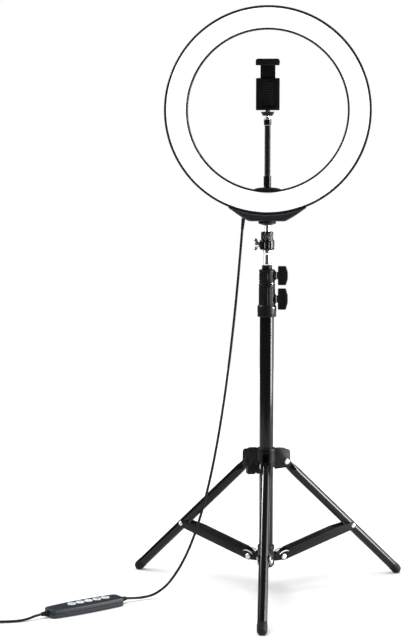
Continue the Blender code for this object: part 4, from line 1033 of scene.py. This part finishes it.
def ring_light():
    centre = Matrix.Translation((0.0, COLUMN_Y, RING_Z))
    outer, inner, wall, outer_wall = RING_OUTER, RING_INNER, 0.0024, 0.0032
    back, lip, corner = 0.0110, -0.0040, 0.0045
    middle = (outer + inner) / 2
    rim, seam = 0.0007, 0.0010
    housing = [(outer - rim, lip), *arc_points((outer - rim, lip + rim), rim, -90, 0, 4),
               (outer, seam), (outer - 0.0005, seam + 0.0003), (outer - 0.0005, seam + 0.0009),
               (outer, seam + 0.0012), *arc_points((outer - corner, back - corner), corner, 0, 90, 8)]
    for offset in (0.0115, 0.0085):
        r = middle + offset
        housing += [(r + 0.0009, back), (r + 0.0005, back - 0.0006), (r - 0.0005, back - 0.0006),
                    (r - 0.0009, back)]
    housing += [(middle - 0.0076, back), (middle - 0.0080, back - 0.0006), (middle - 0.0090, back - 0.0006),
                (middle - 0.0094, back)]
    housing += arc_points((inner + corner, back - corner), corner, 90, 180, 8)
    housing += [(inner, seam + 0.0012), (inner + 0.0005, seam + 0.0009), (inner + 0.0005, seam + 0.0003),
                (inner, seam), *arc_points((inner + rim, lip + rim), rim, 180, 270, 4),
                (inner + wall, lip + 0.0003), (inner + wall, back - corner), (inner + corner, back - wall),
                (outer - corner, back - wall), (outer - outer_wall, back - corner),
                (outer - outer_wall, lip + 0.0003)]
    piece("rear_housing", ring_turned(housing), "shell_gloss", "ring", centre)

    middle = (outer - outer_wall + inner + wall) / 2
    half = outer - outer_wall - GAP - middle
    skin, foot, spring, crown = 0.0018, -0.0020, -0.0050, -0.0125
    rise = crown - spring
    angles = [math.radians(180 * k / 24) for k in range(25)]
    outside = [(middle + half * math.cos(t), spring + rise * math.sin(t) ** 0.85 if 0 < t < 3.1 else spring)
               for t in angles]
    inside = [(middle + (half - skin) * math.cos(t), spring + (rise + skin) * math.sin(t))
              for t in reversed(angles)]
    shade = [(middle + half, foot), *outside, (middle - half, foot), (middle - half + skin, foot), *inside,
             (middle + half - skin, foot)]
    piece("diffuser", ring_turned(shade), "milk", "ring", centre)
    coat_node("led_board", "board")

    for k in range(8):
        angle = math.radians(22.5 + 45 * k)
        reach = (outer + inner) / 2
        spot = Vector((reach * math.cos(angle), COLUMN_Y + back, RING_Z + reach * math.sin(angle)))
        at = Matrix.Translation(spot) @ spin(-90, "X")
        collar = turned([(0.0028, -0.0004), (0.0040, -0.0004), (0.0040, 0.0002), (0.0037, 0.0006),
                         (0.0031, 0.0006), (0.0028, 0.0002)], 40, True)
        piece(f"back_screw_boss_{k + 1}", collar, "shell_gloss", "ring", at)
        screw_head(f"back_screw_{k + 1}", 0.0024, "ring", at, "lacquer")
    saddle(centre)


GLAND_X, GLAND_Z, GLAND_LEAN = -0.0345, 0.5540, 188.0       # the cord's way out, and its tilt in degrees


def saddle_outline(inset, fit, half, knee, flat_half, bottom, tip_drop):
    """The crescent's (x, z) outline about the ring's centre, with ends that taper up to the ring."""
    reach = half - inset
    spread = math.asin(reach / (fit + inset))
    steps = 48
    sweep = [spread * (2 * k / steps - 1) for k in range(steps + 1)]
    top = [((fit + inset) * math.sin(t), -(fit + inset) * math.cos(t)) for t in sweep]
    low_z = bottom + inset
    tip_z, knee_z = top[0][1] - tip_drop, low_z + 0.0072
    under = rounded([
        (reach, tip_z, 0.0), (knee, knee_z, 0.0120), (flat_half, low_z, 0.0120),
        (-flat_half, low_z, 0.0120), (-knee, knee_z, 0.0120), (-reach, tip_z, 0.0),
    ], 10)
    return top + under


def saddle(centre):
    """The crescent bracket that carries the ring, with a sunk panel on its front and back."""
    fit, bottom = RING_OUTER + GAP, low("saddle_bracket").z - RING_Z
    depth = half_width("saddle_bracket", 1)
    crescent = prism(saddle_outline(0.0, fit, 0.0565, 0.0390, 0.0265, bottom, 0.0008), depth, 0.0006, 3)
    panel = saddle_outline(0.0019, fit, 0.0500, 0.0365, 0.0250, bottom, 0.0008)
    sunk = [moved(prism(panel, 0.0020), shift(y=side * (depth + 0.0009))) for side in (-1, 1)]
    lean = shift(x=GLAND_X, z=GLAND_Z - RING_Z) @ spin(GLAND_LEAN, "Y")
    pocket = moved(disc(0.0031, -0.0075, 0.0100, 48), lean)
    made = piece("saddle_bracket", built(crescent, (), [*sunk, pocket]), "charcoal", "ring", centre)
    made.data.materials.append(material("saddle_panel"))
    for face in made.data.polygons:
        y = abs(face.center.y - COLUMN_Y)
        if abs(face.normal.y) > 0.9 and y < depth - 0.0006:
            face.material_index = 1
    gland = [(0.0, -0.0070), (0.0028, -0.0070), (0.0028, -0.0030), (0.0025, -0.0027), (0.0025, -0.0022),
             (0.0028, -0.0019), (0.0028, -0.0008), (0.0025, 0.0), (0.0, 0.0)]
    piece("cable_gland", moved(turned(gland, 48), lean), "plastic", "ring", centre)


# ---------------------------------------------------------------- phone holder
def phone_holder():
    top = high("arm_base").z - RING_Z
    foot = -0.1175
    half, deep = 0.0200, 0.0105
    dome = [(0.0, foot), (half, foot), (half, top - 0.0032), (half * 0.97, top - 0.0026),
            (half * 0.86, top - 0.0016),
            (half * 0.72, top - 0.0009), (half * 0.55, top - 0.0004), (0.0066, top - 0.0001), (0.0062, top),
            (0.0, top)]
    mound = turned(dome, 96)
    squeeze = Matrix.Diagonal((1.0, deep / half, 1.0, 1.0))
    outside = moved(turned([(0.200, -0.03), (0.200, 0.03), (0.1152, 0.03), (0.1152, -0.03)], 240, True),
                    spin(90, "X"))
    ring = Matrix.Translation((0.0, COLUMN_Y, RING_Z))
    piece("arm_base", built(moved(mound, squeeze), (), [outside]), "plastic", "ring", ring)

    at = ON_COLUMN
    ferrule("lower_ferrule", "ring")
    ferrule("upper_ferrule", "neck_upper")
    first, second = pivot("neck_bend_lower").z, pivot("neck_bend_upper").z
    split = (first + second) / 2
    start, end = low("neck_lower").z, high("neck_upper").z
    lower = piece("neck_sleeve_lower", gooseneck(start, split), "neck_rubber", None, at,
                  replaces="neck_lower", smooth=60.0)
    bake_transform(lower)
    upper = piece("neck_sleeve_upper", gooseneck(split, end), "neck_rubber", None, at,
                  replaces="neck_upper", smooth=60.0)
    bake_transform(upper)

    knuckle_at = Matrix.Translation(pivot("clamp_turn"))
    stem_end = low("clamp_knuckle").z - pivot("clamp_turn").z
    waist = math.degrees(math.asin(-0.0036 / 0.0042))
    knuckle = [(0.0, stem_end), (0.0046, stem_end), (0.0050, stem_end + 0.0003), (0.0050, stem_end + 0.0014),
               (0.0046, stem_end + 0.0018), (0.0021, stem_end + 0.0027), (0.0019, -0.0036)]
    knuckle += arc_points((0.0, 0.0), 0.0042, waist, 90, 20)
    piece("clamp_knuckle", turned(knuckle, 56), "chrome", "knuckle", knuckle_at)
    clamp(knuckle_at)


def ferrule(node, body):
    """A smooth collar with a groove, at an end of the gooseneck."""
    bottom, top, radius = low(node).z, high(node).z, half_width(node)
    profile = [(0.0, bottom), (radius - 0.0004, bottom), (radius, bottom + 0.0004),
               (radius, bottom + 0.0020),
               (radius - 0.0004, bottom + 0.0023), (radius - 0.0004, bottom + 0.0028),
               (radius, bottom + 0.0031),
               (radius, top - 0.0006), (radius - 0.0002, top - 0.0002), (radius - 0.0008, top), (0.0, top)]
    piece(node, turned(profile, 72), "lacquer", body, ON_COLUMN)


def gooseneck(bottom, top):
    """A finely corrugated tube."""
    radius, pitch = 0.00435, 0.0018
    count = max(1, round((top - bottom) / pitch))
    step = (top - bottom) / count
    profile = []
    for k in range(count):
        z = bottom + step * k
        for share, dip in ((0.0, 0.00035), (0.12, 0.00014), (0.28, 0.0), (0.72, 0.0), (0.88, 0.00014)):
            profile.append((radius - dip, z + step * share))
    profile.append((radius - 0.00035, top))
    return turned([(0.0, bottom), *profile, (0.0, top)], 40)


JAW_FLOOR, JAW_ROOF = 0.7116, 0.7766         # heights of the two gripping faces
RIB_PITCH, RIB_WIDTH, RIBS = 0.0029, 0.0014, 11


def ribs(half, front, back, low_z, high_z):
    """Rubber ribs side by side across a jaw."""
    lefts = [-half + 0.0022 + RIB_PITCH * k for k in range(RIBS)]
    return [block((x, front, low_z), (x + RIB_WIDTH, back, high_z), 0.0003, 2) for x in lefts]


def clamp(at):
    """The sprung phone clamp: a body with the lower jaw, and a slider with the upper jaw."""
    centre = pivot("clamp_turn").z
    floor, roof = JAW_FLOOR - centre, JAW_ROOF - centre
    top, plate_top = high("clamp_slider").z - centre, high("clamp_body").z - centre
    half, front, back_face, plate_back, lip = 0.0172, -0.0125, 0.0045, 0.0120, 0.0030
    lip_back = front + 0.0032
    base, taper, deep = floor - 0.0078, 0.0105, (plate_back - front) / 2
    jaw_face = rounded([(-taper, base, 0.0020), (taper, base, 0.0020), (half, base + 0.0042, 0.0025),
                        (half, floor, 0.0004), (-half, floor, 0.0004), (-half, base + 0.0042, 0.0025)], 6)
    jaw = moved(prism(jaw_face, deep, 0.0009, 3), shift(y=plate_back - deep))
    front_lip = block((-half, front, floor - 0.0020), (half, lip_back, floor + lip), 0.0012, 4)
    plate = block((-half, back_face, floor - 0.0020), (half, plate_back, plate_top), 0.0014, 4)
    funnel = turned([(0.0, -0.0046), (0.0066, -0.0046), (0.0072, -0.0042), (0.0083, -0.0020),
                     (0.0100, floor - 0.0040), (0.0, floor - 0.0040)], 72)
    cavity = turned([(0.0, -0.0080), (0.0042, -0.0080), (0.0041, -0.0042), (0.0041, -0.0020),
                     *arc_points((0.0, 0.0), 0.00455, -26, 90, 14)], 56)
    slot = block((-0.0112, 0.0066, floor + 0.0020), (0.0112, 0.0100, plate_top + 0.002))
    body = built(jaw, [front_lip, plate, funnel], [cavity, slot])
    piece("clamp_body", body, "plastic", "clamp", at)
    window = [block((-0.0072, back_face - 0.0004, floor + 0.0052 + 0.0034 * k),
                    (0.0072, back_face + 0.0003, floor + 0.0068 + 0.0034 * k), 0.0003, 2) for k in range(10)]
    sill = ribs(half, lip_back + 0.0004, back_face - 0.0004, floor - 0.0004, floor + 0.0005)
    piece("jaw_pad_lower", together(*window, *sill), "rubber", "clamp", at)
    for k, x in enumerate((-0.0125, 0.0125)):
        spot = at @ shift(x, plate_back, floor + 0.0070) @ spin(-90, "X")
        screw_head(f"clamp_screw_{k + 1}", 0.0016, "clamp", spot)

    tongue = block((-0.0108, 0.00695, floor + 0.0040), (0.0108, 0.00965, top - 0.0010), 0.0003, 2)
    upper_face = rounded([(-half, roof, 0.0004), (half, roof, 0.0004), (half, top, 0.0034),
                          (-half, top, 0.0034)], 8)
    upper = moved(prism(upper_face, deep, 0.0010, 3), shift(y=plate_back - deep))
    upper_lip = block((-half, front, roof - lip), (half, lip_back, top - 0.0020), 0.0012, 4)
    groove = [block((-half - 0.001, front + 0.0052 + 0.0030 * k, top - 0.0004),
                    (half + 0.001, front + 0.0062 + 0.0030 * k, top + 0.001)) for k in range(5)]
    piece("clamp_slider", built(upper, [upper_lip, tongue], groove), "plastic", "clamp_slider", at)
    brow = ribs(half, lip_back + 0.0004, back_face + 0.0010, roof - 0.0005, roof + 0.0004)
    piece("jaw_pad_upper", together(*brow), "rubber", "clamp_slider", at)


# ---------------------------------------------------------------- controller
CONTROLLER_AT = Vector((-0.2560, -0.0667, 0.0))
HEADING = 219.0                  # degrees, the way its far end points
LENGTH, WIDTH, END_WIDTH = 0.1210, 0.0325, 0.0266
SPLIT, TOP = 0.0062, 0.0130
BUTTON_R, BUTTON_PITCH, FIRST_BUTTON = 0.0062, 0.0141, 0.0254
BUTTON_PROUD = 0.0012


def controller_outline(inset):
    """A barrel-shaped outline with round corners, in the controller's own length and width."""
    half_length = LENGTH / 2 - inset
    end, middle = END_WIDTH / 2 - inset, WIDTH / 2 - inset
    corner = 0.0065
    shares = [-0.86 + 1.72 * k / 16 for k in range(17)]
    side = [(half_length * 0.94 * x, end + (middle - end) * (1 - x * x)) for x in shares]
    right = arc_points((half_length - corner, end - corner), corner, 90, 0, 8)
    half_way = side + right + [(x, -y) for x, y in reversed(right)]
    return half_way + [(-x, -y) for x, y in half_way]


def slab(layers):
    """A solid through stacked (height, inset) layers of the controller's outline."""
    return loft([[(x, y, z) for x, y in controller_outline(inset)] for z, inset in layers])


def strip(points, width, thickness, closed=False):
    """A flat raised line through (x, y) points."""
    count = len(points)
    rings = []
    for k, (x, y) in enumerate(points):
        ahead = Vector(points[(k + 1) % count] if closed or k < count - 1 else points[k])
        behind = Vector(points[k - 1] if closed or k else points[k])
        run = (ahead - behind).normalized()
        out = Vector((-run.y, run.x)) * (width / 2)
        rings.append([(x - out.x, y - out.y, 0.0), (x + out.x, y + out.y, 0.0),
                      (x + out.x, y + out.y, thickness), (x - out.x, y - out.y, thickness)])
    return loft(rings, closed)


def icons():
    """Generic raised marks: a sun, a half disc, two chevrons and a broken circle with a bar."""
    thick, line = 0.00022, 0.0007

    def circle(radius, start=0.0, stop=360.0, steps=24):
        return arc_points((0.0, 0.0), radius, start, stop, steps)

    sun = [strip(circle(0.0014)[:-1], line, thick, True)]
    for k in range(8):
        angle = math.radians(45 * k)
        ray = [(r * math.cos(angle), r * math.sin(angle)) for r in (0.0023, 0.0034)]
        sun.append(strip(ray, line * 0.8, thick))
    half_disc = [strip(circle(0.0027)[:-1], line, thick, True)]
    half_disc.append(strip([(-0.0012, 0.0), (0.0, 0.0)], 0.0030, thick))
    up = [strip([(-0.0011, -0.0026), (0.0013, 0.0), (-0.0011, 0.0026)], line * 1.1, thick)]
    down = [strip([(0.0011, -0.0026), (-0.0013, 0.0), (0.0011, 0.0026)], line * 1.1, thick)]
    power = [strip(circle(0.0026, 218, 502, 28), line, thick),
             strip([(-0.0034, 0.0), (-0.0004, 0.0)], line, thick)]
    return [together(*sun), together(*half_disc), together(*up), together(*down), together(*power)]


def controller():
    at = Matrix.Translation(CONTROLLER_AT) @ spin(HEADING, "Z")
    base = slab([(0.0, 0.0014), (0.0003, 0.0008), (0.0008, 0.0003), (0.0014, 0.0), (SPLIT - 0.0004, 0.0),
                 (SPLIT, 0.0005)])
    tray = slab([(0.0022, 0.0030), (SPLIT + 0.001, 0.0030)])
    mouth = (LENGTH / 2 - 0.0024, LENGTH / 2 + 0.0050)
    feet = []
    for x in (-0.046, 0.046):
        for y in (-0.0085, 0.0085):
            feet.append(moved(disc(0.0022, -0.001, 0.0004, 32), shift(x, y)))
    piece("controller_base", built(base, (), [tray, *feet]), "navy", "stand", at)
    rim = 0.0026
    curve = [(TOP - rim + rim * math.sin(math.radians(t)) - 0.0006 * (t / 90),
              rim * (1 - math.cos(math.radians(t))))
             for t in range(0, 91, 15)]
    cover = slab([(SPLIT + GAP, 0.0005), (SPLIT + GAP + 0.0004, 0.0), *curve, (TOP - 0.0003, 0.0042),
                  (TOP, 0.0068)])
    cavity = slab([(SPLIT - 0.001, 0.0030), (TOP - 0.0024, 0.0030)])
    places = [-LENGTH / 2 + FIRST_BUTTON + BUTTON_PITCH * k for k in range(5)]
    hole = BUTTON_R + 0.0004
    wells = [moved(disc(hole, TOP - 0.004, TOP + 0.001, 64), shift(x)) for x in places]
    more = [moved(disc(0.0047, *mouth, 40), boot_axis(side)) for side in (0.0, 180.0)]
    lens = moved(disc(0.0012, TOP - 0.0006, TOP + 0.001, 32), shift(-LENGTH / 2 + 0.0135))
    piece("controller_cover", built(cover, (), [cavity, *wells, *more, lens]), "navy", "stand", at)
    ring = turned([(hole, -0.0003), (hole + 0.0009, -0.0003), (hole + 0.0009, 0.0001),
                   (hole + 0.0006, 0.00035),
                   (hole + 0.0002, 0.00035), (hole, 0.0001)], 64, True)
    rims = together(*[moved(ring.copy(), shift(x, 0.0, TOP)) for x in places])
    piece("button_rims", rims, "navy", "stand", at)
    names = ("mode", "colour", "dimmer_up", "dimmer_down", "power")
    cap = [(0.0, -0.0042), (BUTTON_R, -0.0042),
           *arc_points((BUTTON_R - 0.0006, BUTTON_PROUD - 0.0007), 0.0006, 0, 80, 5),
           (BUTTON_R * 0.6, BUTTON_PROUD), (0.0, BUTTON_PROUD + 0.00006)]
    button = turned(cap, 64)
    for name, x, mark in zip(names, places, icons()):
        spot = at @ shift(x, 0.0, TOP)
        piece(f"{name}_button", button, "button_white", f"{name}_button", spot)
        piece(f"{name}_mark", mark, "ink", f"{name}_button", spot @ shift(z=BUTTON_PROUD - 0.00004))
    for side, label in ((0.0, "far"), (180.0, "near")):
        piece(f"{label}_boot", boot_mesh(), "rubber", "stand", at @ boot_axis(side))


def boot_axis(side):
    return spin(side, "Z") @ shift(z=0.0062) @ spin(90, "Y")


def boot_mesh():
    """A tapered strain relief with grooves round it."""
    start, flange, end = LENGTH / 2 - 0.0020, LENGTH / 2 + 0.0020, LENGTH / 2 + 0.0110
    profile = [(0.0, start), (0.0044, start), (0.0044, flange - 0.0004), (0.0040, flange)]
    for k in range(5):
        z = flange + 0.0006 + 0.0017 * k
        taper = 0.0039 - 0.0012 * (z - flange) / (end - flange)
        profile += [(taper, z), (taper, z + 0.0008), (taper - 0.0006, z + 0.0010),
                    (taper - 0.0006, z + 0.0015)]
    profile += [(0.0026, end - 0.0003), (0.0024, end), (0.0, end)]
    return turned(profile, 48)


# ---------------------------------------------------------------- all of it
stage()
cords()
column()
tripod()
ball_head()
ring_light()
phone_holder()
controller()
